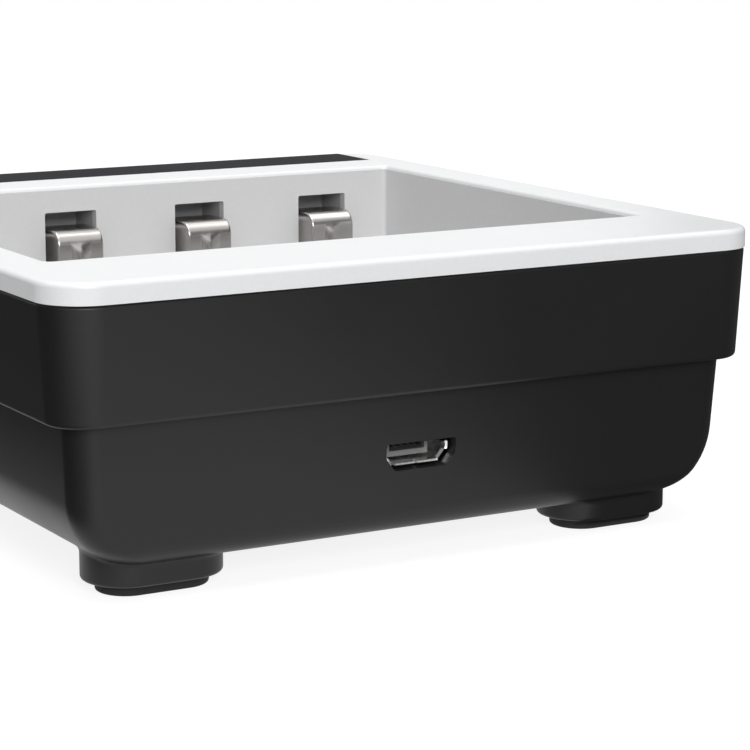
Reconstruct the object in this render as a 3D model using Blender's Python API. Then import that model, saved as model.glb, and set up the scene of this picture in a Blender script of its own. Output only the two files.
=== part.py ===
"""Desktop charger for AA cells: white cover and battery tray over a two-part black housing.

Origin: middle of the foot prints, on the table. +X to the right of the face with the inlet,
+Y from the inlet face to the face with the indicator strip, +Z up. Metres.
"""

import math

import bmesh
import bpy

MM = 0.001

# Cells and their bays
CELL_DIAMETER = 14.5 * MM
CELL_LENGTH = 50.5 * MM
CELL_COUNT = 4
BAY_GAP = 2.86 * MM
CELL_PLAY = 0.15 * MM
CELL_BELOW_RIM = 2.85 * MM
CREST_DROP = 1.5 * MM

# Rims round the well
SIDE_RIM = 5.65 * MM
NEAR_RIM = 15.0 * MM
FAR_BAR = 6.9 * MM
STRIP_DEPTH = 9.3 * MM
WELL_SIDE_ROOM = 0.68 * MM
WELL_CORNER = 1.8 * MM

# Heights, from the table up
PAD_HEIGHT = 1.2 * MM
BOSS_HEIGHT = 2.4 * MM
LOWER_HEIGHT = 14.9 * MM
UPPER_UNDER_CELL = 2.6 * MM
COVER_HEIGHT = 2.3 * MM

# Housing
BODY_CORNER = 5.1 * MM
LOWER_CORNER = 2.9 * MM
SMALLEST_CORNER = 1.0 * MM
SIDE_RADIUS = 7.3 * MM
FACE_RADIUS = 2.6 * MM
DRAFT = math.radians(3)
UPPER_WALL = 1.5 * MM
LOWER_WALL = 1.3 * MM
FLOOR_THICKNESS = 2.0 * MM
LIP_HEIGHT = 2.0 * MM
UPPER_EDGE = 0.5 * MM
LEDGE_DROP = 3.0 * MM
LEDGE_THICKNESS = 1.5 * MM
LEDGE_TO_TRAY = 0.5 * MM

# Cover
COVER_EDGE = 0.6 * MM
COVER_OVERHANG = 0.12 * MM
OPENING_EDGE = 0.35 * MM
OPENING_STEP = 0.2 * MM
LIP_THICKNESS = 0.7 * MM
RIB_WIDTH = 1.2 * MM
RIB_DEPTH = 1.3 * MM

# Strip
STRIP_END_MARGIN = 3.95 * MM
STRIP_THICKNESS = 1.2 * MM
STRIP_FLANGE = 1.0 * MM

# Tray
TRAY_WALL = 1.2 * MM
TRAY_FLOOR = 1.2 * MM
TRAY_FLANGE = 1.2 * MM
TRAY_SKIRT = 0.5 * MM
TROUGH_END_LIP = 0.5 * MM
TROUGH_STEPS = 14
POCKET_WALL = 1.0 * MM
SLOT_WIDTH = 6.75 * MM
SLOT_BELOW_RIM = 3.2 * MM
SLOT_SILL = 0.6 * MM
GUARD_WIDTH = 1.3 * MM
GUARD_SETBACK = 0.8 * MM
GUARD_HEIGHT = 6.2 * MM
GUARD_CHAMFER = (1.0 * MM, 1.2 * MM)
FIXED_SLOT_DEPTH = 2.0 * MM

# Contacts
LEAF_WIDTH = 5.9 * MM
LEAF_THICKNESS = 0.4 * MM
LEAF_BEND = 1.7 * MM
LEAF_REACH = 2.6 * MM
LEAF_PRESSED = 1.3 * MM
LEAF_BELOW_SLOT = 1.95 * MM
LEAF_ROOT_SETBACK = 4.0 * MM
LEAF_TAIL = 5.0 * MM
LEAF_CURL = (1.5 * MM, 0.9 * MM)
FIXED_REACH = 5.2 * MM
FIXED_LEG_SETBACK = 1.4 * MM
FIXED_TAIL = 2.2 * MM
EMBOSS_HEIGHT = 0.35 * MM
EMBOSS_TOP = 2.7 * MM
EMBOSS_FOOT = 1.0 * MM
EMBOSS_CREST = 0.18
EMBOSS_RAMP = 0.15

# Clearances, and how far a cutter runs past what it cuts and a joined piece into its neighbour
FIT_GAP = 0.3 * MM
SEAM_GAP = 0.1 * MM
OVERCUT = 1.0 * MM
LAP = 0.2 * MM

# Feet
FOOT_X = 27.1 * MM
PAD_LENGTH = 11.9 * MM
PAD_DEPTH = 6.5 * MM
PAD_CORNER = 3.2 * MM
PAD_EDGE = 0.3 * MM
PAD_INSET = 6.9 * MM
BOSS_MARGIN = 1.45 * MM
BOSS_EDGE = 0.4 * MM
BOSS_ROOT = 1.6 * MM

# Circuit board and inlet
BOARD_THICKNESS = 1.6 * MM
BOARD_MARGIN = 0.4 * MM
BOARD_CORNER = 3.0 * MM
SOCKET_X = 0.0 * MM
SOCKET_BELOW_PARTING = 6.8 * MM
SOCKET_WIDTH = 7.7 * MM
SOCKET_HEIGHT = 2.35 * MM
SOCKET_SIDE = 1.15 * MM
SOCKET_CHAMFER = 1.0 * MM
SOCKET_LENGTH = 5.2 * MM
SOCKET_SHEET = 0.25 * MM
SOCKET_RECESS = 1.2 * MM
SOCKET_GAP = 0.25 * MM
TONGUE_WIDTH = 4.9 * MM
TONGUE_THICKNESS = 0.8 * MM
TONGUE_SETBACK = 0.9 * MM
TONGUE_BLOCK = 1.4 * MM
FINGER_COUNT = 5
FINGER_PITCH = 0.8 * MM
FINGER_WIDTH = 0.3 * MM
FINGER_GROOVE = 0.35 * MM

# Screws and pillars
SCREW_HEAD = 4.6 * MM
SCREW_HEAD_HEIGHT = 1.7 * MM
SCREW_SHANK = 2.6 * MM
SCREW_GRIP = 6.0 * MM
PILLAR_WALL = 1.0 * MM
PILLAR_BELOW_PARTING = 1.0 * MM
TRAY_BOSS = 6.2 * MM
STANDOFF = 4.0 * MM
STANDOFF_X = 28.0 * MM
STANDOFF_Y = 17.5 * MM

# Components on the board
CHIP_SIDE = 7.0 * MM
CHIP_HEIGHT = 1.0 * MM
CHIP_CORNER = 0.5 * MM
CHIP_TAPER = 0.1 * MM
TRANSISTOR_SIZE = (4.6 * MM, 2.6 * MM, 1.5 * MM)
TRANSISTOR_Y = 14.0 * MM
INDUCTOR_SIDE = 6.0 * MM
INDUCTOR_HEIGHT = 3.0 * MM
CAPACITOR_RADIUS = 2.5 * MM
CAPACITOR_HEIGHT = 11.0 * MM
LAMP_RADIUS = 1.5 * MM
LAMP_HEIGHT = 3.2 * MM
LAMP_FLANGE = 0.6 * MM
GUIDE_RADIUS = 1.2 * MM
GUIDE_FROM_STRIP = 2.1 * MM

# Facets
CORNER_STEPS = 6
EDGE_STEPS = 4
BASE_STEPS = 7
ROUND_SIDES = 20
SMALL_ROUND_SIDES = 12

# Sizes that follow from the above
BAY_PITCH = CELL_DIAMETER + BAY_GAP
WELL_WIDTH = CELL_COUNT * BAY_PITCH + 2 * WELL_SIDE_ROOM
WELL_LENGTH = FIXED_REACH + CELL_LENGTH + LEAF_PRESSED
BODY_WIDTH = WELL_WIDTH + 2 * SIDE_RIM
BODY_DEPTH = NEAR_RIM + WELL_LENGTH + FAR_BAR + STRIP_DEPTH
WELL_NEAR = NEAR_RIM - BODY_DEPTH / 2
WELL_FAR = WELL_NEAR + WELL_LENGTH
WELL_MIDDLE = (WELL_NEAR + WELL_FAR) / 2
STRIP_NEAR = WELL_FAR + FAR_BAR

BASE_Z = PAD_HEIGHT + BOSS_HEIGHT
PARTING_Z = BASE_Z + LOWER_HEIGHT
SEAM_Z = PARTING_Z + CELL_DIAMETER - UPPER_UNDER_CELL
TOP_Z = SEAM_Z + COVER_HEIGHT
LEDGE_Z = SEAM_Z - LEDGE_DROP
FLOOR_Z = BASE_Z + FLOOR_THICKNESS
SLOT_TOP = TOP_Z - SLOT_BELOW_RIM

TROUGH_RADIUS = CELL_DIAMETER / 2 + CELL_PLAY
CELL_AXIS_Z = TOP_Z - CELL_BELOW_RIM - CELL_DIAMETER / 2
CREST_Z = CELL_AXIS_Z - CREST_DROP
TROUGH_Z = CELL_AXIS_Z - TROUGH_RADIUS
TRAY_BASE_Z = TROUGH_Z - TRAY_FLOOR - TRAY_SKIRT
TROUGH_NEAR = WELL_NEAR + FIXED_REACH + GUARD_SETBACK
TRAY_TOP_Z = TOP_Z - LIP_THICKNESS - SEAM_GAP
FLANGE_Z = LEDGE_Z + FIT_GAP
POCKET_DEPTH = LEAF_ROOT_SETBACK + LEAF_THICKNESS + 2 * FIT_GAP
POCKET_HALF = SLOT_WIDTH / 2 + POCKET_WALL

SOCKET_Z = PARTING_Z - SOCKET_BELOW_PARTING
BOARD_TOP_Z = SOCKET_Z - SOCKET_HEIGHT / 2 - FIT_GAP
BOARD_Z = BOARD_TOP_Z - BOARD_THICKNESS
PART_Z = BOARD_TOP_Z + FIT_GAP
LEAF_TOP_Z = SLOT_TOP - LEAF_BELOW_SLOT
GUIDE_Y = STRIP_NEAR + GUIDE_FROM_STRIP
PILLAR_STEP_Z = BOARD_Z - FIT_GAP
SEAT_Z = PILLAR_STEP_Z - PILLAR_WALL
BORE_RADIUS = SCREW_HEAD / 2 + FIT_GAP
SHANK_HOLE = SCREW_SHANK / 2 + FIT_GAP
PILLAR_RADIUS = BORE_RADIUS + PILLAR_WALL
PILLAR_NECK = SHANK_HOLE + PILLAR_WALL
PILLAR_TOP_Z = PARTING_Z - PILLAR_BELOW_PARTING
SCREW_NEAR_Y = WELL_NEAR - TRAY_WALL - FIT_GAP - PILLAR_NECK
SCREW_FAR_Y = WELL_FAR + TRAY_WALL + FIT_GAP + PILLAR_NECK
PAD_Y = BODY_DEPTH / 2 - PAD_INSET - PAD_DEPTH / 2


def linear(hex_colour):
    """An sRGB hex colour as linear red, green, blue and alpha."""
    values = [int(hex_colour[i:i + 2], 16) / 255 for i in (0, 2, 4)]
    return [v / 12.92 if v <= 0.04045 else ((v + 0.055) / 1.055) ** 2.4 for v in values] + [1.0]


def finish(name, hex_colour, roughness, metallic=0.0):
    """A plain Principled material."""
    material = bpy.data.materials.new(name)
    material.use_nodes = True
    shader = material.node_tree.nodes["Principled BSDF"]
    shader.inputs["Base Color"].default_value = linear(hex_colour)
    shader.inputs["Roughness"].default_value = roughness
    shader.inputs["Metallic"].default_value = metallic
    material.diffuse_color = linear(hex_colour)
    return material


def make_object(name, solids, material, origin=(0.0, 0.0, 0.0), smooth=True):
    """An object whose origin is at the given point, from solids in world coordinates."""
    bmesh.ops.translate(solids, verts=solids.verts, vec=[-value for value in origin])
    mesh = bpy.data.meshes.new(name)
    solids.to_mesh(mesh)
    solids.free()
    if smooth:
        mesh.shade_smooth()
        mesh.set_sharp_from_angle(angle=math.radians(35))
    if material:
        mesh.materials.append(material)
    obj = bpy.data.objects.new(name, mesh)
    obj.location = origin
    bpy.context.scene.collection.objects.link(obj)
    return obj


def combine(target, operation, name, solids):
    """Join solids to the target, or cut them out of it, with a helper that isn't rendered."""
    helper = make_object(name, solids, None)
    helper.hide_render = True
    helper.display_type = "WIRE"
    modifier = target.modifiers.new(name, "BOOLEAN")
    modifier.operation = operation
    modifier.object = helper
    modifier.solver = "EXACT"


def rounded_outline(half_x, half_y, radius, middle_x=0.0, middle_y=0.0, steps=CORNER_STEPS):
    """Points of a rectangle with round corners, anticlockwise."""
    points = []
    corners = [(1, -1, -90), (1, 1, 0), (-1, 1, 90), (-1, -1, 180)]
    for side_x, side_y, start in corners:
        centre_x = middle_x + side_x * (half_x - radius)
        centre_y = middle_y + side_y * (half_y - radius)
        for step in range(steps + 1):
            angle = math.radians(start + 90 * step / steps)
            points.append((centre_x + radius * math.cos(angle), centre_y + radius * math.sin(angle)))
    return points


def add_loft(solids, rings, closed=False):
    """Skin rings of (outline, height). A closed loft joins its last ring to its first."""
    layers = [[solids.verts.new((x, y, z)) for x, y in outline] for outline, z in rings]
    pairs = list(zip(layers, layers[1:]))
    if closed:
        pairs.append((layers[-1], layers[0]))
    else:
        solids.faces.new(reversed(layers[0]))
        solids.faces.new(layers[-1])
    for lower, upper in pairs:
        for i in range(len(lower)):
            j = (i + 1) % len(lower)
            solids.faces.new((lower[i], lower[j], upper[j], upper[i]))


def add_prism(solids, outline, axis, start, end):
    """Extrude an outline: (y, z) along X, (x, z) along Y or (x, y) along Z."""
    place = {
        "X": lambda a, b, depth: (depth, a, b),
        "Y": lambda a, b, depth: (a, depth, b),
        "Z": lambda a, b, depth: (a, b, depth),
    }[axis]
    layers = [[solids.verts.new(place(a, b, depth)) for a, b in outline] for depth in (start, end)]
    faces = [solids.faces.new(layers[0]), solids.faces.new(layers[1])]
    for i in range(len(outline)):
        j = (i + 1) % len(outline)
        faces.append(solids.faces.new((layers[0][i], layers[0][j], layers[1][j], layers[1][i])))
    bmesh.ops.recalc_face_normals(solids, faces=faces)


def add_box(solids, low, high):
    """A plain block between two corners."""
    outline = [(low[0], low[1]), (high[0], low[1]), (high[0], high[1]), (low[0], high[1])]
    add_prism(solids, outline, "Z", low[2], high[2])


def add_turned(solids, profile, x, y, sides=ROUND_SIDES):
    """Turn a profile of (radius, height), listed upwards, round a vertical axis, with flat ends."""
    rings = []
    for radius, z in profile:
        angles = [2 * math.pi * (i + 0.5) / sides for i in range(sides)]
        rings.append(([(x + radius * math.cos(a), y + radius * math.sin(a)) for a in angles], z))
    add_loft(solids, rings)


def rounded_path(corners, radius, steps=EDGE_STEPS, runs=1):
    """A polyline with its corners rounded, and each straight run cut into equal pieces."""
    path = [corners[0]]
    for before, corner, after in zip(corners, corners[1:], corners[2:]):
        back = (before[0] - corner[0], before[1] - corner[1])
        ahead = (after[0] - corner[0], after[1] - corner[1])
        back_length = math.hypot(*back)
        ahead_length = math.hypot(*ahead)
        back = (back[0] / back_length, back[1] / back_length)
        ahead = (ahead[0] / ahead_length, ahead[1] / ahead_length)
        half_angle = math.acos(back[0] * ahead[0] + back[1] * ahead[1]) / 2
        tangent = min(radius / math.tan(half_angle), back_length / 2, ahead_length / 2)
        bend = tangent * math.tan(half_angle)
        middle = (back[0] + ahead[0], back[1] + ahead[1])
        reach = bend / math.sin(half_angle) / math.hypot(*middle)
        centre = (corner[0] + middle[0] * reach, corner[1] + middle[1] * reach)
        first = (corner[0] + back[0] * tangent, corner[1] + back[1] * tangent)
        last = (corner[0] + ahead[0] * tangent, corner[1] + ahead[1] * tangent)
        start = math.atan2(first[1] - centre[1], first[0] - centre[0])
        turn = math.atan2(last[1] - centre[1], last[0] - centre[0]) - start
        turn = (turn + math.pi) % (2 * math.pi) - math.pi
        path += split_run(path[-1], first, runs)
        for step in range(1, steps + 1):
            angle = start + turn * step / steps
            path.append((centre[0] + bend * math.cos(angle), centre[1] + bend * math.sin(angle)))
    return path + split_run(path[-1], corners[-1], runs)


def split_run(start, end, runs):
    """Points that cut a straight run into equal pieces, without its start."""
    shares = [i / runs for i in range(1, runs + 1)]
    return [(start[0] + (end[0] - start[0]) * t, start[1] + (end[1] - start[1]) * t) for t in shares]


def upper_inset(z):
    """How far the upper housing's face lies inside the cover's edge at a height."""
    return COVER_OVERHANG + (SEAM_Z - z) * math.tan(DRAFT)


def lower_inset(z, wall=0.0):
    """The same for the lower housing, or for its inner face with a wall."""
    top_inset = upper_inset(PARTING_Z) + UPPER_WALL + FIT_GAP
    return top_inset + (PARTING_Z - z) * math.tan(DRAFT) + wall


def base_inset(z, radius, base_z, wall=0.0):
    """Inset at a height of a drafted wall that runs into a flat base through a radius."""
    tangent_z = base_z + radius * (1 - math.sin(DRAFT))
    if z >= tangent_z:
        return lower_inset(z, wall)
    centre = lower_inset(tangent_z, wall) + radius * math.cos(DRAFT)
    return centre - math.sqrt(max(radius ** 2 - (base_z + radius - z) ** 2, 0.0))


def tub_rings(base_z, top_z, wall=0.0):
    """Outlines up the tub: a large radius under its sides and a small one under its end faces."""
    side = SIDE_RADIUS - wall
    face = FACE_RADIUS - wall
    last = math.pi / 2 - DRAFT
    turns = [last * step / BASE_STEPS for step in range(BASE_STEPS + 1)]
    rings = []
    for z in [base_z + side * (1 - math.cos(a)) for a in turns] + [top_z]:
        half_x = BODY_WIDTH / 2 - base_inset(z, side, base_z, wall)
        half_y = BODY_DEPTH / 2 - base_inset(z, face, base_z, wall)
        rings.append((rounded_outline(half_x, half_y, LOWER_CORNER - wall), z))
    return rings


def body_outline(inset, corner):
    """The body's outline, drawn in by an inset."""
    return rounded_outline(BODY_WIDTH / 2 - inset, BODY_DEPTH / 2 - inset, max(corner, SMALLEST_CORNER))


def well_outline(growth, corner):
    """The well's outline, grown by an amount."""
    half_x = WELL_WIDTH / 2 + growth
    half_y = WELL_LENGTH / 2 + growth
    return rounded_outline(half_x, half_y, corner, middle_y=WELL_MIDDLE)


def edge_arc(inset, z, radius, steps=EDGE_STEPS):
    """(inset, height) round a top outer edge, from its side up to its flat."""
    angles = [math.pi / 2 * step / steps for step in range(steps + 1)]
    return [(inset + radius * (1 - math.cos(a)), z - radius * (1 - math.sin(a))) for a in angles]


def bottom_edge(z, radius):
    """(inset, height) round a bottom outer edge, from its flat up to its side."""
    return [(radius, z), (0.3 * radius, z + 0.3 * radius), (0.0, z + radius)]


def bay_centres():
    """X of each bay."""
    first = -(CELL_COUNT - 1) / 2
    return [(first + i) * BAY_PITCH for i in range(CELL_COUNT)]


def screw_places():
    """X and Y of each screw, beside the contact pockets of the middle bays."""
    x = bay_centres()[CELL_COUNT // 2] + POCKET_HALF + FIT_GAP + PILLAR_NECK
    return [(side * x, y) for side in (-1, 1) for y in (SCREW_NEAR_Y, SCREW_FAR_Y)]


def foot_places():
    """X and Y of each foot."""
    return [(side * FOOT_X, end * PAD_Y) for end in (-1, 1) for side in (-1, 1)]


def top_cover(material):
    """White frame: rounded outer edge, lip over the tray, locating rib inside the housing wall."""
    under = SEAM_Z + SEAM_GAP
    side = [(0.0, under)] + edge_arc(0.0, TOP_Z, COVER_EDGE)
    rings = [(body_outline(inset, BODY_CORNER - inset), z) for inset, z in side]
    step = OPENING_STEP
    corner = WELL_CORNER + step
    for angle in (90, 45, 0):
        grow = step + OPENING_EDGE * (1 - math.cos(math.radians(angle)))
        z = TOP_Z - OPENING_EDGE * (1 - math.sin(math.radians(angle)))
        rings.append((well_outline(grow, corner + grow - step), z))
    rings.append((well_outline(step, corner), TOP_Z - LIP_THICKNESS))
    rebate = TRAY_WALL + FIT_GAP
    rings.append((well_outline(rebate, WELL_CORNER + rebate), TOP_Z - LIP_THICKNESS))
    rings.append((well_outline(rebate, WELL_CORNER + rebate), under))
    rib_outside = upper_inset(SEAM_Z) + UPPER_WALL + FIT_GAP
    rib_inside = rib_outside + RIB_WIDTH
    for inset, z in [(rib_inside, under), (rib_inside, under - RIB_DEPTH),
                     (rib_outside, under - RIB_DEPTH), (rib_outside, under)]:
        rings.append((body_outline(inset, BODY_CORNER - inset), z))
    solids = bmesh.new()
    add_loft(solids, rings, closed=True)
    cover = make_object("top_cover", solids, material)

    notch = bmesh.new()
    floor = TOP_Z - STRIP_THICKNESS - SEAM_GAP
    back = BODY_DEPTH / 2 - STRIP_FLANGE - SEAM_GAP
    beyond = BODY_DEPTH / 2 + OVERCUT
    below = under - SEAM_GAP
    outline = [(STRIP_NEAR, TOP_Z + OVERCUT), (STRIP_NEAR, floor), (back, floor),
               (back, below), (beyond, below), (beyond, TOP_Z + OVERCUT)]
    half = BODY_WIDTH / 2 - STRIP_END_MARGIN
    add_prism(notch, outline, "X", -half, half)
    combine(cover, "DIFFERENCE", "cover_strip_notch", notch)

    windows = bmesh.new()
    radius = GUIDE_RADIUS + FIT_GAP
    for x in bay_centres():
        add_turned(windows, [(radius, under - OVERCUT), (radius, floor + OVERCUT)], x, GUIDE_Y)
    combine(cover, "DIFFERENCE", "cover_guide_windows", windows)


def indicator_strip(material):
    """Dark strip let into the far end, folded down over the rear edge."""
    top = TOP_Z
    base = TOP_Z - STRIP_THICKNESS
    near = STRIP_NEAR + SEAM_GAP
    far = BODY_DEPTH / 2
    chamfer = SEAM_GAP
    outline = [(near, base), (near, top - chamfer), (near + chamfer, top)]
    edge = [(far - inset, z) for inset, z in edge_arc(0.0, top, COVER_EDGE)]
    outline += reversed(edge)
    outline += [(far, SEAM_Z + SEAM_GAP), (far - STRIP_FLANGE, SEAM_Z + SEAM_GAP)]
    outline += [(far - STRIP_FLANGE, base)]
    half = BODY_WIDTH / 2 - STRIP_END_MARGIN - SEAM_GAP
    solids = bmesh.new()
    add_prism(solids, outline, "X", -half, half)
    make_object("indicator_strip", solids, material)


def upper_housing(material):
    """Black skirt with an inner ledge that carries the tray."""
    foot = upper_inset(PARTING_Z)
    ledge = SIDE_RIM - TRAY_WALL - LEDGE_TO_TRAY
    rings = [(foot + UPPER_EDGE, PARTING_Z), (foot + 0.3 * UPPER_EDGE, PARTING_Z + 0.3 * UPPER_EDGE),
             (upper_inset(PARTING_Z + UPPER_EDGE), PARTING_Z + UPPER_EDGE),
             (upper_inset(SEAM_Z - COVER_OVERHANG), SEAM_Z - COVER_OVERHANG),
             (upper_inset(SEAM_Z) + COVER_OVERHANG, SEAM_Z),
             (upper_inset(SEAM_Z) + UPPER_WALL, SEAM_Z),
             (upper_inset(LEDGE_Z) + UPPER_WALL, LEDGE_Z),
             (ledge, LEDGE_Z), (ledge, LEDGE_Z - LEDGE_THICKNESS),
             (upper_inset(LEDGE_Z - LEDGE_THICKNESS) + UPPER_WALL, LEDGE_Z - LEDGE_THICKNESS),
             (foot + UPPER_WALL, PARTING_Z)]
    solids = bmesh.new()
    add_loft(solids, [(body_outline(i, BODY_CORNER - i), z) for i, z in rings], closed=True)
    make_object("upper_housing", solids, material)


def lower_housing(material):
    """Black tub with foot bosses, screw pillars, board standoffs and the inlet hole."""
    lip_z = PARTING_Z + LIP_HEIGHT
    solids = bmesh.new()
    add_loft(solids, tub_rings(BASE_Z, lip_z))
    tub = make_object("lower_housing", solids, material)

    bosses = bmesh.new()
    for x, y in foot_places():
        half_x = PAD_LENGTH / 2 + BOSS_MARGIN
        half_y = PAD_DEPTH / 2 + BOSS_MARGIN
        radius = PAD_CORNER + BOSS_MARGIN
        rings = bottom_edge(PAD_HEIGHT, BOSS_EDGE) + [(0.0, BASE_Z + BOSS_ROOT)]
        add_loft(bosses, [(rounded_outline(half_x - i, half_y - i, radius - i, x, y), z)
                          for i, z in rings])
    combine(tub, "UNION", "foot_bosses", bosses)

    cavity = bmesh.new()
    add_loft(cavity, tub_rings(FLOOR_Z, lip_z + OVERCUT, LOWER_WALL))
    combine(tub, "DIFFERENCE", "tub_cavity", cavity)

    posts = bmesh.new()
    for x, y in screw_places():
        profile = [(PILLAR_RADIUS, FLOOR_Z - LAP), (PILLAR_RADIUS, PILLAR_STEP_Z),
                   (PILLAR_NECK, PILLAR_STEP_Z), (PILLAR_NECK, PILLAR_TOP_Z)]
        add_turned(posts, profile, x, y)
    for x, y in standoff_places():
        top = BOARD_Z - FIT_GAP
        add_turned(posts, [(STANDOFF / 2, FLOOR_Z - LAP), (STANDOFF / 2, top)], x, y, SMALL_ROUND_SIDES)
    combine(tub, "UNION", "tub_posts", posts)

    holes = bmesh.new()
    for x, y in screw_places():
        profile = [(BORE_RADIUS, BASE_Z - OVERCUT), (BORE_RADIUS, SEAT_Z),
                   (SHANK_HOLE, SEAT_Z), (SHANK_HOLE, PILLAR_TOP_Z + OVERCUT)]
        add_turned(holes, profile, x, y)
    face_y = -BODY_DEPTH / 2
    wall_back = face_y + lower_inset(SOCKET_Z, LOWER_WALL)
    add_prism(holes, socket_outline(SOCKET_GAP), "Y", face_y - OVERCUT, wall_back + OVERCUT)
    combine(tub, "DIFFERENCE", "tub_holes", holes)


def standoff_places():
    """X and Y of each short post under the board."""
    return [(x, y) for x in (-STANDOFF_X, STANDOFF_X) for y in (-STANDOFF_Y, STANDOFF_Y)]


def battery_tray(material):
    """White tray: end walls, half-round troughs, contact slots, pockets and screw bosses."""
    solids = bmesh.new()
    block = well_outline(TRAY_WALL, WELL_CORNER + TRAY_WALL)
    add_loft(solids, [(block, TRAY_BASE_Z), (block, TRAY_TOP_Z)])
    tray = make_object("battery_tray", solids, material)

    flange = bmesh.new()
    inset = upper_inset(FLANGE_Z) + UPPER_WALL + FIT_GAP
    outline = body_outline(inset, BODY_CORNER - inset)
    add_loft(flange, [(outline, FLANGE_Z), (outline, FLANGE_Z + TRAY_FLANGE)])
    combine(tray, "UNION", "tray_flange", flange)

    pockets = bmesh.new()
    for x in bay_centres():
        back = WELL_FAR + TRAY_WALL + POCKET_DEPTH + POCKET_WALL
        add_box(pockets, (x - POCKET_HALF, WELL_FAR + TRAY_WALL / 2, TRAY_BASE_Z),
                (x + POCKET_HALF, back, SLOT_TOP + POCKET_WALL))
    combine(tray, "UNION", "tray_pockets", pockets)

    bosses = bmesh.new()
    for x, y in screw_places():
        base = PILLAR_TOP_Z + FIT_GAP
        add_turned(bosses, [(TRAY_BOSS / 2, base), (TRAY_BOSS / 2, FLANGE_Z + TRAY_FLANGE / 2)], x, y)
    combine(tray, "UNION", "tray_bosses", bosses)

    well = bmesh.new()
    opening = well_outline(0.0, WELL_CORNER)
    add_loft(well, [(opening, CREST_Z), (opening, TOP_Z + OVERCUT)])
    combine(tray, "DIFFERENCE", "tray_well", well)

    troughs = bmesh.new()
    for x in bay_centres():
        add_prism(troughs, trough_outline(x), "Y", TROUGH_NEAR, WELL_FAR - TROUGH_END_LIP)
    combine(tray, "DIFFERENCE", "tray_troughs", troughs)

    hollow = bmesh.new()
    add_prism(hollow, underside_outline(), "Y", TROUGH_NEAR, WELL_FAR)
    half = WELL_WIDTH / 2 - TRAY_WALL
    add_box(hollow, (-half, WELL_NEAR, TRAY_BASE_Z - OVERCUT),
            (half, TROUGH_NEAR - TRAY_WALL, CREST_Z - TRAY_FLOOR))
    combine(tray, "DIFFERENCE", "tray_underside", hollow)

    slots = bmesh.new()
    for x in bay_centres():
        add_prism(slots, slot_outline(), "X", x - SLOT_WIDTH / 2, x + SLOT_WIDTH / 2)
    combine(tray, "DIFFERENCE", "tray_spring_slots", slots)

    windows = bmesh.new()
    for x in bay_centres():
        low = (x - SLOT_WIDTH / 2, WELL_NEAR + 2 * FIT_GAP, CREST_Z - TRAY_FLOOR - FIXED_SLOT_DEPTH)
        high = (x + SLOT_WIDTH / 2, TROUGH_NEAR + TROUGH_END_LIP, CREST_Z + OVERCUT)
        add_box(windows, low, high)
    combine(tray, "DIFFERENCE", "tray_fixed_slots", windows)

    holes = bmesh.new()
    for x, y in screw_places():
        base = PILLAR_TOP_Z - OVERCUT
        top = PILLAR_TOP_Z + FIT_GAP + SCREW_GRIP + FIT_GAP
        add_turned(holes, [(SHANK_HOLE, base), (SHANK_HOLE, top)], x, y, SMALL_ROUND_SIDES)
    for x in bay_centres():
        radius = GUIDE_RADIUS + FIT_GAP
        profile = [(radius, FLANGE_Z - OVERCUT), (radius, FLANGE_Z + TRAY_FLANGE + OVERCUT)]
        add_turned(holes, profile, x, GUIDE_Y, SMALL_ROUND_SIDES)
    combine(tray, "DIFFERENCE", "tray_holes", holes)

    guards = bmesh.new()
    for x in bay_centres():
        for side in (-1, 1):
            inner = x + side * (SLOT_WIDTH / 2 + SEAM_GAP)
            outer = inner + side * GUARD_WIDTH
            add_prism(guards, guard_outline(), "X", min(inner, outer), max(inner, outer))
    combine(tray, "UNION", "tray_guards", guards)


def trough_outline(x):
    """Half-round channel for one cell, open at the top."""
    drop = CELL_AXIS_Z - CREST_Z
    reach = math.acos(drop / TROUGH_RADIUS)
    points = []
    for step in range(TROUGH_STEPS + 1):
        angle = -reach + 2 * reach * step / TROUGH_STEPS
        points.append((x + TROUGH_RADIUS * math.sin(angle), CELL_AXIS_Z - TROUGH_RADIUS * math.cos(angle)))
    return points + [(points[-1][0], CREST_Z + OVERCUT), (points[0][0], CREST_Z + OVERCUT)]


def underside_outline():
    """The hollow below the troughs, one wall away from each of them."""
    radius = TROUGH_RADIUS + TRAY_FLOOR
    ceiling = CREST_Z - TRAY_FLOOR
    reach = math.acos((CELL_AXIS_Z - ceiling) / radius)
    half = WELL_WIDTH / 2 - TRAY_WALL
    base = TRAY_BASE_Z - OVERCUT
    points = [(-half, base)]
    for x in bay_centres():
        for step in range(TROUGH_STEPS + 1):
            angle = -reach + 2 * reach * step / TROUGH_STEPS
            place = x + radius * math.sin(angle)
            points.append((max(-half, min(half, place)), CELL_AXIS_Z - radius * math.cos(angle)))
    points.append((half, base))
    return points


def slot_outline():
    """Slot through the far wall, opening into the pocket behind it, which is open below."""
    front = WELL_FAR - 2 * TROUGH_END_LIP
    wall = WELL_FAR + TRAY_WALL
    back = wall + POCKET_DEPTH
    low = TRAY_BASE_Z - OVERCUT
    sill = TROUGH_Z + SLOT_SILL
    return [(front, SLOT_TOP), (front, sill), (wall, sill), (wall, low), (back, low), (back, SLOT_TOP)]


def guard_outline():
    """Rib beside a fixed contact, which keeps a reversed cell off it."""
    back = WELL_NEAR - TRAY_WALL / 2
    front = TROUGH_NEAR
    low = CREST_Z - TRAY_FLOOR / 2
    top = CREST_Z + GUARD_HEIGHT
    return [(back, low), (front - SEAM_GAP, low), (front - SEAM_GAP, top - GUARD_CHAMFER[1]),
            (front - GUARD_CHAMFER[0], top), (back, top)]


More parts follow.
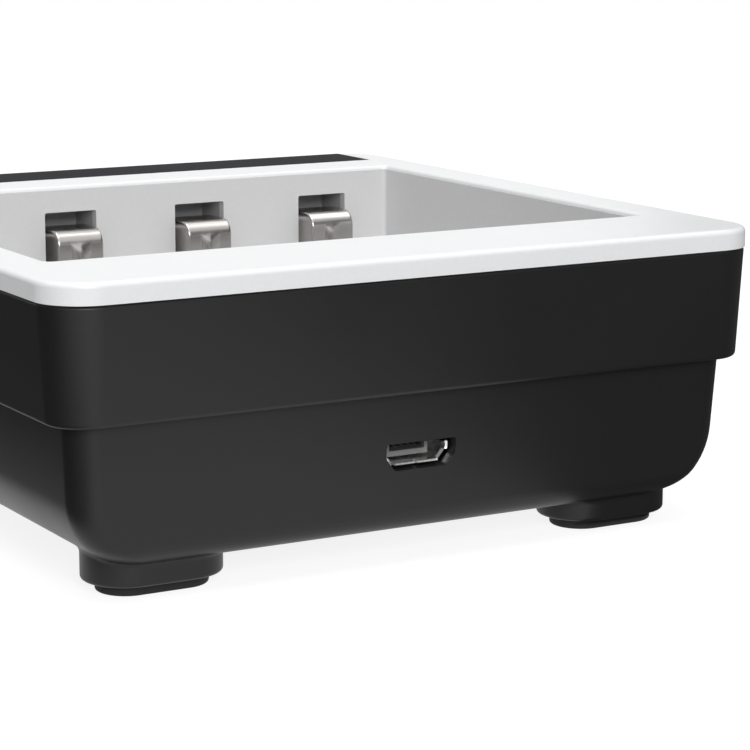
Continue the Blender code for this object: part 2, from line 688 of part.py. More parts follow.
def leaf_grid(path, emboss_from, emboss_to, sign):
    """Rows of points across a folded leaf, with a tapering rib pressed out of its front leg.

    The path is the leaf's middle line as (y, z). The rib runs between two distances along it.
    """
    lengths = [0.0]
    for a, b in zip(path, path[1:]):
        lengths.append(lengths[-1] + math.hypot(b[0] - a[0], b[1] - a[1]))
    rows = []
    for i, (y, z) in enumerate(path):
        ahead = path[min(i + 1, len(path) - 1)]
        behind = path[max(i - 1, 0)]
        run = math.hypot(ahead[0] - behind[0], ahead[1] - behind[1])
        normal = ((ahead[1] - behind[1]) / run * sign, -(ahead[0] - behind[0]) / run * sign)
        share = (lengths[i] - emboss_from) / (emboss_to - emboss_from)
        width = EMBOSS_TOP + (EMBOSS_FOOT - EMBOSS_TOP) * max(0.0, min(1.0, share))
        height = EMBOSS_HEIGHT * max(0.0, min(1.0, share / EMBOSS_RAMP, (1 - share) / EMBOSS_RAMP))
        crest = EMBOSS_CREST * width
        columns = [(-LEAF_WIDTH / 2, 0.0), (-width / 2, 0.0), (-crest, height),
                   (crest, height), (width / 2, 0.0), (LEAF_WIDTH / 2, 0.0)]
        rows.append([(x, y, z, normal, lift) for x, lift in columns])
    return rows


def add_leaf(solids, x, rows):
    """A strip of sheet metal through rows of points, with its full thickness."""
    sides = []
    for offset in (LEAF_THICKNESS / 2, -LEAF_THICKNESS / 2):
        side = []
        for row in rows:
            places = [(x + across, y + n[0] * (offset + lift), z + n[1] * (offset + lift))
                      for across, y, z, n, lift in row]
            side.append([solids.verts.new(place) for place in places])
        sides.append(side)
    front, back = sides
    faces = []
    last = len(rows) - 1
    across = len(rows[0]) - 1
    for i in range(last):
        for j in range(across):
            for side in sides:
                corners = (side[i][j], side[i][j + 1], side[i + 1][j + 1], side[i + 1][j])
                faces.append(solids.faces.new(corners))
        for j in (0, across):
            faces.append(solids.faces.new((front[i][j], front[i + 1][j], back[i + 1][j], back[i][j])))
    for i in (0, last):
        for j in range(across):
            faces.append(solids.faces.new((front[i][j], front[i][j + 1], back[i][j + 1], back[i][j])))
    bmesh.ops.recalc_face_normals(solids, faces=faces)


def leaf_path(leg_y, face_y, top_z, foot_z):
    """Middle line of a leaf: up a rear leg, over the top, down the front, with a curled end."""
    back = 1 if leg_y > face_y else -1
    tail = (face_y + back * LEAF_CURL[0], foot_z - LEAF_CURL[1])
    corners = [(leg_y, PART_Z), (leg_y, top_z), (face_y, top_z), (face_y, foot_z), tail]
    return rounded_path(corners, LEAF_BEND, runs=3)


def path_length_to(path, z, after):
    """Distance along a path to where it first comes down to a height, past a point number."""
    length = 0.0
    for i in range(1, len(path)):
        length += math.hypot(path[i][0] - path[i - 1][0], path[i][1] - path[i - 1][1])
        if i > after and path[i][1] <= z:
            return length
    return length


def contact_leaf(name, x, leg_y, face_y, top_z, foot_z, material):
    """One folded contact, with its origin at the foot of its rear leg."""
    path = leaf_path(leg_y, face_y, top_z, foot_z)
    start = path_length_to(path, top_z - LEAF_BEND, len(path) // 2)
    end = path_length_to(path, foot_z + LEAF_BEND, len(path) // 2)
    sign = 1 if leg_y > face_y else -1
    solids = bmesh.new()
    add_leaf(solids, x, leaf_grid(path, start, end, -sign))
    return make_object(name, solids, material, origin=(x, leg_y, PART_Z))


def contacts(material):
    """A spring contact at the far end of each bay and a fixed one at its near end."""
    spring_face = WELL_FAR - LEAF_REACH + LEAF_THICKNESS / 2
    spring_leg = WELL_FAR + LEAF_ROOT_SETBACK
    fixed_face = WELL_NEAR + FIXED_REACH - LEAF_THICKNESS / 2
    fixed_leg = WELL_NEAR + FIXED_LEG_SETBACK
    top = LEAF_TOP_Z - LEAF_THICKNESS / 2
    spring_foot = CELL_AXIS_Z - LEAF_TAIL
    fixed_foot = CELL_AXIS_Z - FIXED_TAIL
    for number, x in enumerate(bay_centres(), start=1):
        contact_leaf(f"spring_contact_{number}", x, spring_leg, spring_face, top, spring_foot, material)
        contact_leaf(f"fixed_contact_{number}", x, fixed_leg, fixed_face, top, fixed_foot, material)


def foot_pads(material):
    """Rubber pad under each boss."""
    names = ["foot_pad_near_left", "foot_pad_near_right", "foot_pad_far_left", "foot_pad_far_right"]
    for name, (x, y) in zip(names, foot_places()):
        rings = bottom_edge(0.0, PAD_EDGE) + [(0.0, PAD_HEIGHT - SEAM_GAP)]
        solids = bmesh.new()
        add_loft(solids, [(rounded_outline(PAD_LENGTH / 2 - i, PAD_DEPTH / 2 - i, PAD_CORNER - i, x, y), z)
                          for i, z in rings])
        make_object(name, solids, material)


def socket_outline(growth):
    """Outline of the inlet as (x, z): wide at the top, chamfered at the bottom."""
    half = SOCKET_WIDTH / 2 + growth
    top = SOCKET_Z + SOCKET_HEIGHT / 2 + growth
    base = SOCKET_Z - SOCKET_HEIGHT / 2 - growth
    shoulder = SOCKET_Z + SOCKET_HEIGHT / 2 - SOCKET_SIDE - growth * 0.4
    foot = half - SOCKET_CHAMFER - growth * 0.2
    outline = [(half, top), (half, shoulder), (foot, base), (-foot, base), (-half, shoulder), (-half, top)]
    return [(x + SOCKET_X, z) for x, z in outline]


def usb_shell(material):
    """Pressed metal shell, open at both ends."""
    front = socket_front()
    back = front + SOCKET_LENGTH
    solids = bmesh.new()
    outer = socket_outline(0.0)
    inner = socket_outline(-SOCKET_SHEET)
    corners = [[solids.verts.new((x, y, z)) for x, z in outline]
               for outline, y in ((outer, front), (outer, back), (inner, back), (inner, front))]
    faces = []
    for i in range(4):
        near = corners[i]
        far = corners[(i + 1) % 4]
        for j in range(len(near)):
            k = (j + 1) % len(near)
            faces.append(solids.faces.new((near[j], near[k], far[k], far[j])))
    bmesh.ops.recalc_face_normals(solids, faces=faces)
    make_object("usb_shell", solids, material, smooth=False)


def socket_front():
    """Y of the shell's mouth, set back from the housing's face."""
    return lower_inset(SOCKET_Z) - BODY_DEPTH / 2 + SOCKET_RECESS


def usb_tongue(material):
    """Moulded tongue with a groove for each finger, on a block that closes the shell."""
    front = socket_front() + TONGUE_SETBACK
    back = socket_front() + SOCKET_LENGTH - FIT_GAP
    half = TONGUE_WIDTH / 2
    top = SOCKET_Z + SOCKET_HEIGHT / 2 - SOCKET_SHEET - FIT_GAP
    base = top - TONGUE_THICKNESS
    outline = [(SOCKET_X - half, base), (SOCKET_X + half, base), (SOCKET_X + half, top)]
    for x in reversed(finger_centres()):
        reach = FINGER_WIDTH / 2 + SEAM_GAP
        outline += [(x + reach, top), (x + reach, top - FINGER_GROOVE),
                    (x - reach, top - FINGER_GROOVE), (x - reach, top)]
    outline.append((SOCKET_X - half, top))
    solids = bmesh.new()
    add_prism(solids, outline, "Y", front, back - TONGUE_BLOCK / 2)
    tongue = make_object("usb_tongue", solids, material, smooth=False)
    block = bmesh.new()
    add_prism(block, socket_outline(-SOCKET_SHEET - SEAM_GAP), "Y", back - TONGUE_BLOCK, back)
    combine(tongue, "UNION", "tongue_block", block)


def finger_centres():
    """X of each contact finger."""
    first = -(FINGER_COUNT - 1) / 2
    return [SOCKET_X + (first + i) * FINGER_PITCH for i in range(FINGER_COUNT)]


def usb_fingers(material):
    """Contact fingers in the tongue's grooves."""
    start = socket_front() + TONGUE_SETBACK + SEAM_GAP
    end = socket_front() + SOCKET_LENGTH - FIT_GAP - TONGUE_BLOCK - SEAM_GAP
    top = SOCKET_Z + SOCKET_HEIGHT / 2 - SOCKET_SHEET - FIT_GAP
    for number, x in enumerate(finger_centres(), start=1):
        solids = bmesh.new()
        add_box(solids, (x - FINGER_WIDTH / 2, start, top - FINGER_GROOVE + SEAM_GAP),
                (x + FINGER_WIDTH / 2, end, top))
        make_object(f"usb_finger_{number}", solids, material, smooth=False)


def board_inset():
    """How far the board's edge lies inside the cover's edge, clear of the tub's inner radius."""
    return base_inset(BOARD_Z, SIDE_RADIUS - LOWER_WALL, FLOOR_Z, LOWER_WALL) + BOARD_MARGIN


def circuit_board(material):
    """Board inside the tub, with holes for the screw pillars."""
    outline = body_outline(board_inset(), BOARD_CORNER)
    solids = bmesh.new()
    add_loft(solids, [(outline, BOARD_Z), (outline, BOARD_TOP_Z)])
    board = make_object("circuit_board", solids, material, smooth=False)
    holes = bmesh.new()
    for x, y in screw_places():
        radius = PILLAR_NECK + FIT_GAP
        add_turned(holes, [(radius, BOARD_Z - OVERCUT), (radius, BOARD_TOP_Z + OVERCUT)], x, y)
    combine(board, "DIFFERENCE", "board_holes", holes)


def housing_screws(material):
    """Self-tapping screws, driven from below into the tray's bosses."""
    names = ["near_left", "far_left", "near_right", "far_right"]
    head_top = SEAT_Z - FIT_GAP
    head_base = head_top - SCREW_HEAD_HEIGHT
    tip = PILLAR_TOP_Z + FIT_GAP + SCREW_GRIP
    radius = SCREW_HEAD / 2
    shank = SCREW_SHANK / 2
    profile = [(radius * 0.7, head_base), (radius * 0.92, head_base + 0.25 * SCREW_HEAD_HEIGHT),
               (radius, head_base + 0.6 * SCREW_HEAD_HEIGHT), (radius, head_top), (shank, head_top),
               (shank, tip - shank), (shank * 0.3, tip)]
    for name, (x, y) in zip(names, screw_places()):
        solids = bmesh.new()
        add_turned(solids, profile, x, y, ROUND_SIDES)
        make_object(f"housing_screw_{name}", solids, material)


def light_guides(material):
    """Clear rods that carry each lamp's light up to the strip."""
    base = PART_Z + LAMP_HEIGHT + FIT_GAP
    top = TOP_Z - STRIP_THICKNESS - FIT_GAP
    for number, x in enumerate(bay_centres(), start=1):
        solids = bmesh.new()
        add_turned(solids, [(GUIDE_RADIUS, base), (GUIDE_RADIUS, top)], x, GUIDE_Y, SMALL_ROUND_SIDES)
        make_object(f"light_guide_{number}", solids, material)


def lamps(material):
    """Domed status lamp for each bay, on the board."""
    for number, x in enumerate(bay_centres(), start=1):
        profile = [(LAMP_RADIUS * 1.15, PART_Z), (LAMP_RADIUS * 1.15, PART_Z + LAMP_FLANGE),
                   (LAMP_RADIUS, PART_Z + LAMP_FLANGE)]
        shoulder = PART_Z + LAMP_HEIGHT - LAMP_RADIUS
        for angle in (0, 25, 50, 75):
            a = math.radians(angle)
            profile.append((LAMP_RADIUS * math.cos(a), shoulder + LAMP_RADIUS * math.sin(a)))
        profile.append((0.1 * LAMP_RADIUS, PART_Z + LAMP_HEIGHT))
        solids = bmesh.new()
        add_turned(solids, profile, x, GUIDE_Y, SMALL_ROUND_SIDES)
        make_object(f"status_lamp_{number}", solids, material)


def board_parts(black, ferrite, sleeve):
    """Controller chip, a pass transistor for each bay, inductor and input capacitor."""
    solids = bmesh.new()
    half = CHIP_SIDE / 2
    outline = rounded_outline(half, half, CHIP_CORNER, steps=2)
    slim = rounded_outline(half - CHIP_TAPER, half - CHIP_TAPER, CHIP_CORNER, steps=2)
    add_loft(solids, [(outline, PART_Z), (slim, PART_Z + CHIP_HEIGHT)])
    make_object("charge_controller", solids, black, smooth=False)

    length, depth, height = TRANSISTOR_SIZE
    for number, x in enumerate(bay_centres(), start=1):
        solids = bmesh.new()
        low = (x - length / 2, TRANSISTOR_Y - depth / 2, PART_Z)
        high = (x + length / 2, TRANSISTOR_Y + depth / 2, PART_Z + height)
        add_box(solids, low, high)
        make_object(f"pass_transistor_{number}", solids, black, smooth=False)

    place_y = (WELL_NEAR - TRAY_WALL + board_inset() - BODY_DEPTH / 2) / 2
    half = INDUCTOR_SIDE / 2
    place_x = FOOT_X
    solids = bmesh.new()
    outline = rounded_outline(half, half, half / 2, place_x, place_y, steps=3)
    add_loft(solids, [(outline, PART_Z), (outline, PART_Z + INDUCTOR_HEIGHT)])
    make_object("power_inductor", solids, ferrite)

    radius = CAPACITOR_RADIUS
    top = PART_Z + CAPACITOR_HEIGHT
    groove = PART_Z + 0.15 * CAPACITOR_HEIGHT
    profile = [(radius * 0.9, PART_Z), (radius, PART_Z + 0.1 * radius), (radius, groove),
               (radius * 0.86, groove + 0.2 * radius), (radius, groove + 0.4 * radius),
               (radius, top - 0.2 * radius), (radius * 0.85, top)]
    solids = bmesh.new()
    add_turned(solids, profile, -FOOT_X, place_y, ROUND_SIDES)
    make_object("input_capacitor", solids, sleeve)


def main():
    for obj in list(bpy.data.objects):
        bpy.data.objects.remove(obj)
    top_cover(finish("white_gloss_plastic", "F4F4F2", 0.3))
    battery_tray(finish("white_satin_plastic", "ECECEA", 0.45))
    upper_housing(finish("black_upper_plastic", "1C1C1D", 0.5))
    lower_housing(finish("black_lower_plastic", "1B1B1C", 0.5))
    indicator_strip(finish("smoked_strip_plastic", "38393B", 0.4))
    foot_pads(finish("pad_rubber", "101011", 0.85))
    contacts(finish("nickel_plated_steel", "A9A6A2", 0.3, 1.0))
    circuit_board(finish("board_laminate", "1F5B36", 0.5))
    usb_shell(finish("socket_shell_steel", "C4C4C4", 0.28, 1.0))
    usb_tongue(finish("socket_tongue_plastic", "6E6E6E", 0.5))
    usb_fingers(finish("finger_gold", "B89A55", 0.3, 1.0))
    housing_screws(finish("screw_steel", "77787A", 0.35, 1.0))
    light_guides(finish("guide_acrylic", "E6ECEE", 0.1))
    lamps(finish("lamp_resin", "BFD9C2", 0.2))
    board_parts(finish("chip_epoxy", "202022", 0.6), finish("ferrite", "3A3A3C", 0.7),
                finish("capacitor_sleeve", "2B3550", 0.4))


main()
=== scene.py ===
"""Looks of a desktop charger for AA cells: mouldings, leaf contacts, inlet, feet and finishes."""

import math
from types import SimpleNamespace

import bmesh
import bpy
import numpy as np
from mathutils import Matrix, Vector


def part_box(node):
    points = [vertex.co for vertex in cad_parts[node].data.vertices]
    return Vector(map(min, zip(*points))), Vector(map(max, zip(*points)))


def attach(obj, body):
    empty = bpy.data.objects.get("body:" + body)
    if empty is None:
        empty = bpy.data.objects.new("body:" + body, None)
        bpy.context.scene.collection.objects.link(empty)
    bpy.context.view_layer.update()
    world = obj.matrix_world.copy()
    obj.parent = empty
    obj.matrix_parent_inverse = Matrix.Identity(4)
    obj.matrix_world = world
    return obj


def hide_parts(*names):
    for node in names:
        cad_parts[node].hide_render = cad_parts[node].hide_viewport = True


bl_info = {
    "name": "AA Charger Looks",
    "version": (1, 0, 0),
    "blender": (4, 5, 0),
    "location": "View3D > Sidebar > Charger",
    "description": "Models and finishes the pieces of a desktop charger for AA cells",
    "category": "Object",
}

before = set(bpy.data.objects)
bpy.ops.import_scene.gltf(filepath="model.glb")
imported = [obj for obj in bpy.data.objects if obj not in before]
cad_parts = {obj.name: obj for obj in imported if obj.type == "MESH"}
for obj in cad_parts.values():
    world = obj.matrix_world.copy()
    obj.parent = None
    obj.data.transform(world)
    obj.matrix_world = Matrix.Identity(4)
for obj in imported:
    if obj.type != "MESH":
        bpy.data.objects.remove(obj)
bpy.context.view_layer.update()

MM = 0.001
CORNER_STEPS = 20
EDGE_STEPS = 6
LEAF_COLUMNS = 56
SHARP_ANGLE = math.radians(32)
ARC_STEPS = 16
FILLET_STEPS = 8
HALVINGS = 30
CORNERS = ("near_left", "near_right", "far_left", "far_right")

# Allowances: past a cut, into a joint, between two rings, and the step that a slope is measured over
OVERCUT = 1.0 * MM
OVERLAP = 0.5 * MM
SLIVER = 0.05 * MM
PROBE = 0.01 * MM

# Strip, foot bosses, pads and screws
STRIP_LAP = 1.0 * MM
BOSS_EDGE = 0.4 * MM
BOSS_SINK = 0.3 * MM
PAD_EDGE = 0.3 * MM
SCREW_SEAT = 2.0 * MM

# Tray
TRAY_GAP = 0.01 * MM
POCKET_WALL = 1.0 * MM
TROUGH_START = 0.8 * MM
TROUGH_STOP = 0.5 * MM
SLOT_SILL = 0.6 * MM
WINDOW_STEP = 0.6 * MM
GUARD_ROOT = 0.6 * MM
GUARD_GAP = 0.1 * MM
GUARD_CHAMFER_DEPTH = 1.0 * MM
GUARD_CHAMFER_HEIGHT = 1.2 * MM
GUARD_EDGE = 0.25 * MM

# Contacts
SPRING_FOOT = 5.0 * MM
FIXED_FOOT = 2.2 * MM
TAIL_REACH = 1.5 * MM
TAIL_DROP = 0.9 * MM
LEAF_UPRIGHT = 0.85
EMBOSS_LEAD = 0.06
EMBOSS_RISE = 0.12
EMBOSS_FADE = 0.3
EMBOSS_TAPER = 0.62
EMBOSS_FULLNESS = 0.6

# Inlet
HOLE_GAP = 0.25 * MM
HOLE_CORNER = 0.3 * MM
HOLE_DEPTH = 7.0 * MM
SHOULDER_SHARE = 0.4
FOOT_SHARE = 0.2
SHELL_CORNER = 0.35 * MM
SEAM_HALF = 0.12 * MM
SEAM_DEPTH = 0.5 * MM
SEAM_HEIGHT = 0.6 * MM
LIP_SETBACK = 0.6 * MM
LIP_TRIM = 0.25 * MM
TOP_CUT = 0.32 * MM
TOP_SETBACK = 2.0 * MM
TONGUE_BLOCK = 1.4 * MM
TONGUE_CORNER = 0.2 * MM
MOUTH_MARGIN = 0.35 * MM
MOUTH_HEIGHT = 0.65 * MM
MOUTH_DEPTH = 1.6 * MM
FINGER_SETBACK = 0.1 * MM

# Finishes. The bands of a wave texture lie pi / 10 over its scale apart
MICRON = 0.001 * MM
SHEEN_SPREAD = 12.0 * MM
CLOUD_SPREAD = 2.5 * MM
SKIN_SPREAD = 1.5 * MM
GRAIN_SHADE = 0.94
STREAK_RATIO = 30
WEAVE_SCALE = 1 / (3.14 * MM)

# Camera, from the photograph's vanishing points
CAMERA_PLACE = (-134.0 * MM, -265.8 * MM, 70.4 * MM)
CAMERA_HEADING = 29.77
CAMERA_PITCH = 10.91
FOCAL_PIXELS = 2626.65
IMAGE_WIDTH = 750
SENSOR = 36.0

# Stage, in metres and watts
LAMP_AIM = (0.0, 0.0, 0.02)
SOFTBOXES = (
    ("top_softbox", (-0.1, -0.1, 1.1), 0.9, 7.6),
    ("front_softbox", (-0.35, -1.1, 0.5), 0.4, 7.1),
)
WORLD_LIT = 0.3
FLOOR_HALF = 3.0
PAPER_SEEN = 0.3
PAPER_LIT = 0.5
PAPER_GLOW = 0.86

# Each pair of dark cards, which paint dark reflections: name, near and far X, near and far Y, and strength
DARK_CARDS = (
    ("right", 0.022, 0.35, -0.9, 0.4, 0.14),
    ("left", -0.046, -0.35, -0.09, 0.9, 0.07),
)
CARD_LIFT = 0.5 * MM
CARD_HEIGHT = 0.45
# The overhead card paints a bright reflection: its X and Y span, height and strength
OVERHEAD_SPAN = (0.52, 0.84, -0.45, 0.85)
OVERHEAD_HEIGHT = 1.07
OVERHEAD_STRENGTH = 2.4


def length(name, description, millimetres):
    """A length property, with its default given in millimetres."""
    return bpy.props.FloatProperty(
        name=name, description=description, default=millimetres * MM, unit="LENGTH", precision=5)


def colour(name, description, hex_colour):
    """A colour property, with its default given as an sRGB hex value."""
    return bpy.props.FloatVectorProperty(
        name=name, description=description, default=linear(hex_colour), size=4, subtype="COLOR",
        min=0.0, max=1.0)


def linear(hex_colour):
    """An sRGB hex colour as linear red, green, blue and alpha."""
    srgb = np.array([int(hex_colour[i:i + 2], 16) / 255 for i in (0, 2, 4)])
    rgb = np.where(srgb <= 0.04045, srgb / 12.92, ((srgb + 0.055) / 1.055) ** 2.4)
    return (*rgb.tolist(), 1.0)


class ChargerSizes(bpy.types.PropertyGroup):
    """Sizes of the mouldings and contacts."""

    body_corner: length("Body corner", "Corner radius of the cover and upper shell, seen from above", 5.1)
    lower_corner: length("Lower corner", "Corner radius of the tub, seen from above", 2.9)
    side_radius: length("Side radius", "Radius between the tub's side walls and its bottom", 7.3)
    face_radius: length("Face radius", "Radius between the tub's end faces and its bottom", 2.6)
    draft: bpy.props.FloatProperty(
        name="Draft", description="Lean of the black shells' walls", default=math.radians(3), subtype="ANGLE")
    overhang: length("Overhang", "How far the cover stands out past the upper shell", 0.12)
    shell_wall: length("Shell wall", "Wall of the upper shell", 1.5)
    tub_wall: length("Tub wall", "Wall of the tub", 1.3)
    tub_floor: length("Tub floor", "Floor of the tub", 2.0)
    fit_gap: length("Fit gap", "Room between pieces that fit in each other", 0.3)
    shell_edge: length("Shell edge", "Rounding of the upper shell's lower edge", 0.5)
    shell_rim: length("Shell rim", "Rounding of the upper shell's top edge", 0.3)
    cover_edge: length("Cover edge", "Rounding of the cover's outer edge", 0.6)
    opening_edge: length("Opening edge", "Rounding round the cover's opening", 0.45)
    opening_step: length("Opening step", "How far the cover's opening is wider than the well", 0.2)
    lip: length("Lip", "Thickness of the cover's lip over the tray", 0.5)
    strip_setback: length("Strip setback", "Width of the strip's recess in the far rim", 9.3)
    strip_margin: length("Strip margin", "White rim left at each end of the strip", 3.95)
    strip_thickness: length("Strip thickness", "Thickness of the strip", 1.2)
    seam: length("Seam", "Open line round the strip and under the cover", 0.1)
    well_width: length("Well width", "Width of the battery well", 70.8)
    near_rim: length("Near rim", "White rim in front of the well", 15.0)
    far_rim: length("Far rim", "White bar and strip behind the well", 16.2)
    well_corner: length("Well corner", "Corner radius of the well", 0.5)
    tray_wall: length("Tray wall", "Wall of the tray", 1.2)
    trough_radius: length("Trough radius", "Radius of each cell's trough", 7.4)
    axis_drop: length("Axis drop", "Depth of a cell's axis under the top", 10.1)
    crest_drop: length("Crest drop", "Depth of the ridges between troughs under the top", 11.6)
    slot_width: length("Slot width", "Width of a contact slot", 6.75)
    slot_drop: length("Slot drop", "Depth of a slot's upper edge under the top", 3.2)
    slot_edge: length("Slot edge", "Rounding of a slot's corners", 0.25)
    pocket_depth: length("Pocket depth", "Depth of the pocket behind a slot", 5.0)
    guard_width: length("Guard width", "Width of the ribs beside a fixed contact", 1.3)
    guard_height: length("Guard height", "Height of those ribs above the ridges", 6.2)
    leaf_width: length("Leaf width", "Width of a contact leaf", 5.9)
    leaf_thickness: length("Leaf thickness", "Thickness of a contact leaf", 0.4)
    leaf_bend: length("Leaf bend", "Middle radius of a leaf's folds", 1.7)
    leaf_reach: length("Leaf reach", "How far a spring leaf stands out of the far wall", 3.0)
    fixed_reach: length("Fixed reach", "How far a fixed leaf stands out of the near wall", 5.2)
    emboss_height: length("Emboss height", "Height of the rib pressed out of a leaf", 0.28)
    emboss_width: length("Emboss width", "Width of that rib at its top", 2.7)
    boss_margin: length("Boss margin", "Rim of a foot boss round its pad", 1.45)
    boss_height: length("Boss height", "Height of a foot boss under the tub's flat bottom", 2.4)
    boss_fillet: length("Boss fillet", "Fillet where a foot boss meets the tub", 0.55)
    pad_corner: length("Pad corner", "Corner radius of a foot pad, seen from above", 3.2)
    socket_sheet: length("Socket sheet", "Sheet of the inlet's shell", 0.32)
    socket_shoulder: length("Socket shoulder", "Height of the upright sides of the inlet's shell", 1.15)
    socket_bevel: length("Socket bevel", "Width of each bevel under those sides", 1.0)
    socket_flare: length("Socket flare", "How much deeper the shell's lips are on the inside", 0.1)
    tongue_width: length("Tongue width", "Width of the inlet's tongue", 4.9)
    tongue_thickness: length("Tongue thickness", "Thickness of the inlet's tongue", 1.2)
    tongue_setback: length("Tongue setback", "How far the tongue's front lies behind the solid's", 1.0)


class ChargerColours(bpy.types.PropertyGroup):
    """Colours of the visible finishes."""

    cover: colour("Cover", "White of the cover", "F2F3F4")
    # The tray's white is set greyer than the cover's: painted shade for the shade on the well's walls.
    tray: colour("Tray", "White of the tray", "DADADB")
    # The pockets' grey is painted shade: their walls are the tray's own white plastic, greyed for the shadow
    # inside them.
    pocket: colour("Pockets", "Grey inside the pockets behind the slots", "B4B5B6")
    shell: colour("Shells", "Black of the two housing shells", "1B1B1C")
    strip: colour("Strip", "Dark grey of the indicator strip", "27282A")
    rubber: colour("Rubber", "Black of the foot pads", "161617")
    nickel: colour("Nickel", "Reflected colour of the plated contacts", "BCB9B6")
    tin: colour("Tin", "Reflected colour of the inlet's shell", "DADAD8")


def sizes():
    """The size properties."""
    return bpy.context.scene.charger_sizes


def colours():
    """The colour properties."""
    return bpy.context.scene.charger_colours


def measures():
    """Heights and places, from the boxes of the CAD pieces and the sizes."""
    s = sizes()
    m = SimpleNamespace()
    m.half_x, m.half_y, m.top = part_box("top_cover")[1]
    m.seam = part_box("upper_housing")[1].z
    m.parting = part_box("upper_housing")[0].z
    m.boss_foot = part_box("lower_housing")[0].z
    m.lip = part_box("lower_housing")[1].z
    m.base = m.boss_foot + s.boss_height
    m.well_near = s.near_rim - m.half_y
    m.well_far = m.half_y - s.far_rim
    m.well_middle = (m.well_near + m.well_far) / 2
    m.well_half = (m.well_far - m.well_near) / 2
    m.axis = m.top - s.axis_drop
    m.crest = m.top - s.crest_drop
    m.slot_top = m.top - s.slot_drop
    m.tray_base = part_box("battery_tray")[0].z
    m.bays = [sum(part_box(f"spring_contact_{i}")[k].x for k in (0, 1)) / 2 for i in (1, 2, 3, 4)]
    return m


def rounded_rectangle(half_x, half_y, radius, middle=(0.0, 0.0), steps=CORNER_STEPS):
    """Outline of a rectangle with round corners, anticlockwise.

    Each corner is centre + radius (cos a, sin a), with the angle a running over a quarter turn.
    """
    turn = np.radians(np.linspace(0, 90, steps + 1))
    start = np.radians([[-90], [0], [90], [180]])
    side_x = np.array([[1], [1], [-1], [-1]])
    side_y = np.array([[-1], [1], [1], [-1]])
    x = middle[0] + side_x * (half_x - radius) + radius * np.cos(start + turn)
    y = middle[1] + side_y * (half_y - radius) + radius * np.sin(start + turn)
    return np.column_stack([x.ravel(), y.ravel()])


def rounded_polygon(corners, radii, steps=4):
    """A polygon with each corner turned into a quadratic curve.

    The curve leaves one side at the radius from the corner P and joins the next at the same
    distance: (1 - t)^2 A + 2 t (1 - t) P + t^2 B.
    """
    corners = np.asarray(corners, float)
    radii = np.broadcast_to(radii, len(corners))[:, None]
    back = np.roll(corners, 1, axis=0) - corners
    ahead = np.roll(corners, -1, axis=0) - corners
    start = corners + back / np.linalg.norm(back, axis=1, keepdims=True) * radii
    end = corners + ahead / np.linalg.norm(ahead, axis=1, keepdims=True) * radii
    t = np.linspace(0, 1, steps + 1)[None, :, None]
    curve = (1 - t) ** 2 * start[:, None] + 2 * t * (1 - t) * corners[:, None] + t ** 2 * end[:, None]
    return curve.reshape(-1, 2)


def quarter(inset, height, radius, start, end, steps=EDGE_STEPS):
    """(inset, height) along an arc: the centre is a radius in from the side and down from the flat."""
    angle = np.radians(np.linspace(start, end, steps + 1))
    return np.column_stack([inset + radius * (1 - np.cos(angle)), height + radius * np.sin(angle)])


def loft(rings):
    """Rows of rings, from pairs of an outline and its height."""
    return np.stack([np.column_stack([outline, np.full(len(outline), z)]) for outline, z in rings])


def prism(outline, axis, start, end):
    """Two rings: an outline of (y, z) carried along X, (x, z) along Y or (x, y) along Z."""
    order = {"X": (2, 0, 1), "Y": (0, 2, 1), "Z": (0, 1, 2)}[axis]
    outline = np.asarray(outline, float)
    rings = [np.column_stack([outline, np.full(len(outline), depth)]) for depth in (start, end)]
    return np.stack(rings)[:, :, order]


def block(low, high):
    """Two rings that bound a plain block between two corners."""
    outline = [(low[0], low[1]), (high[0], low[1]), (high[0], high[1]), (low[0], high[1])]
    return prism(outline, "Z", low[2], high[2])


def turned(profile, x, y, sides=48):
    """Rings of (radius, height) turned round an upright axis."""
    angle = np.linspace(0, 2 * math.pi, sides, endpoint=False)
    round_points = np.column_stack([np.cos(angle), np.sin(angle)])
    return loft([(round_points * radius + (x, y), z) for radius, z in profile])


def shell_of(rings, looped=False):
    """(vertices, faces) of rows of closed rings: a quad between each pair of neighbours.

    A looped shell joins its last ring to its first; any other gets a flat cap at both ends.
    """
    rows, columns = rings.shape[:2]
    index = np.arange(rows * columns).reshape(rows, columns)
    grid = np.hstack([index, index[:, :1]])
    if looped:
        grid = np.vstack([grid, grid[:1]])
    quads = np.stack([grid[:-1, :-1], grid[:-1, 1:], grid[1:, 1:], grid[1:, :-1]], -1).reshape(-1, 4)
    faces = quads.tolist()
    if not looped:
        faces += [index[0, ::-1].tolist(), index[-1].tolist()]
    return rings.reshape(-1, 3), faces


def make_object(name, shells):
    """An object whose mesh holds several closed shells, with their faces turned outwards."""
    points = np.concatenate([vertices for vertices, _ in shells])
    faces = []
    offset = 0
    for vertices, own_faces in shells:
        faces += [[corner + offset for corner in face] for face in own_faces]
        offset += len(vertices)
    mesh = bpy.data.meshes.new(name)
    mesh.from_pydata(points.tolist(), [], faces)
    solids = bmesh.new()
    solids.from_mesh(mesh)
    bmesh.ops.recalc_face_normals(solids, faces=solids.faces)
    solids.to_mesh(mesh)
    solids.free()
    obj = bpy.data.objects.new(name, mesh)
    bpy.context.scene.collection.objects.link(obj)
    return obj


def combine(target, operation, shells):
    """Cut shells out of an object, or join them to it, and keep the result as its mesh."""
    helper = make_object("helper", shells)
    modifier = target.modifiers.new("shape", "BOOLEAN")
    modifier.operation = operation
    modifier.object = helper
    modifier.solver = "EXACT"
    graph = bpy.context.evaluated_depsgraph_get()
    mesh = bpy.data.meshes.new_from_object(target.evaluated_get(graph))
    target.modifiers.clear()
    target.data = mesh
    bpy.data.objects.remove(helper)
    if len(mesh.polygons) == 0:
        raise RuntimeError(f"the {operation.lower()} left nothing of {target.name}")


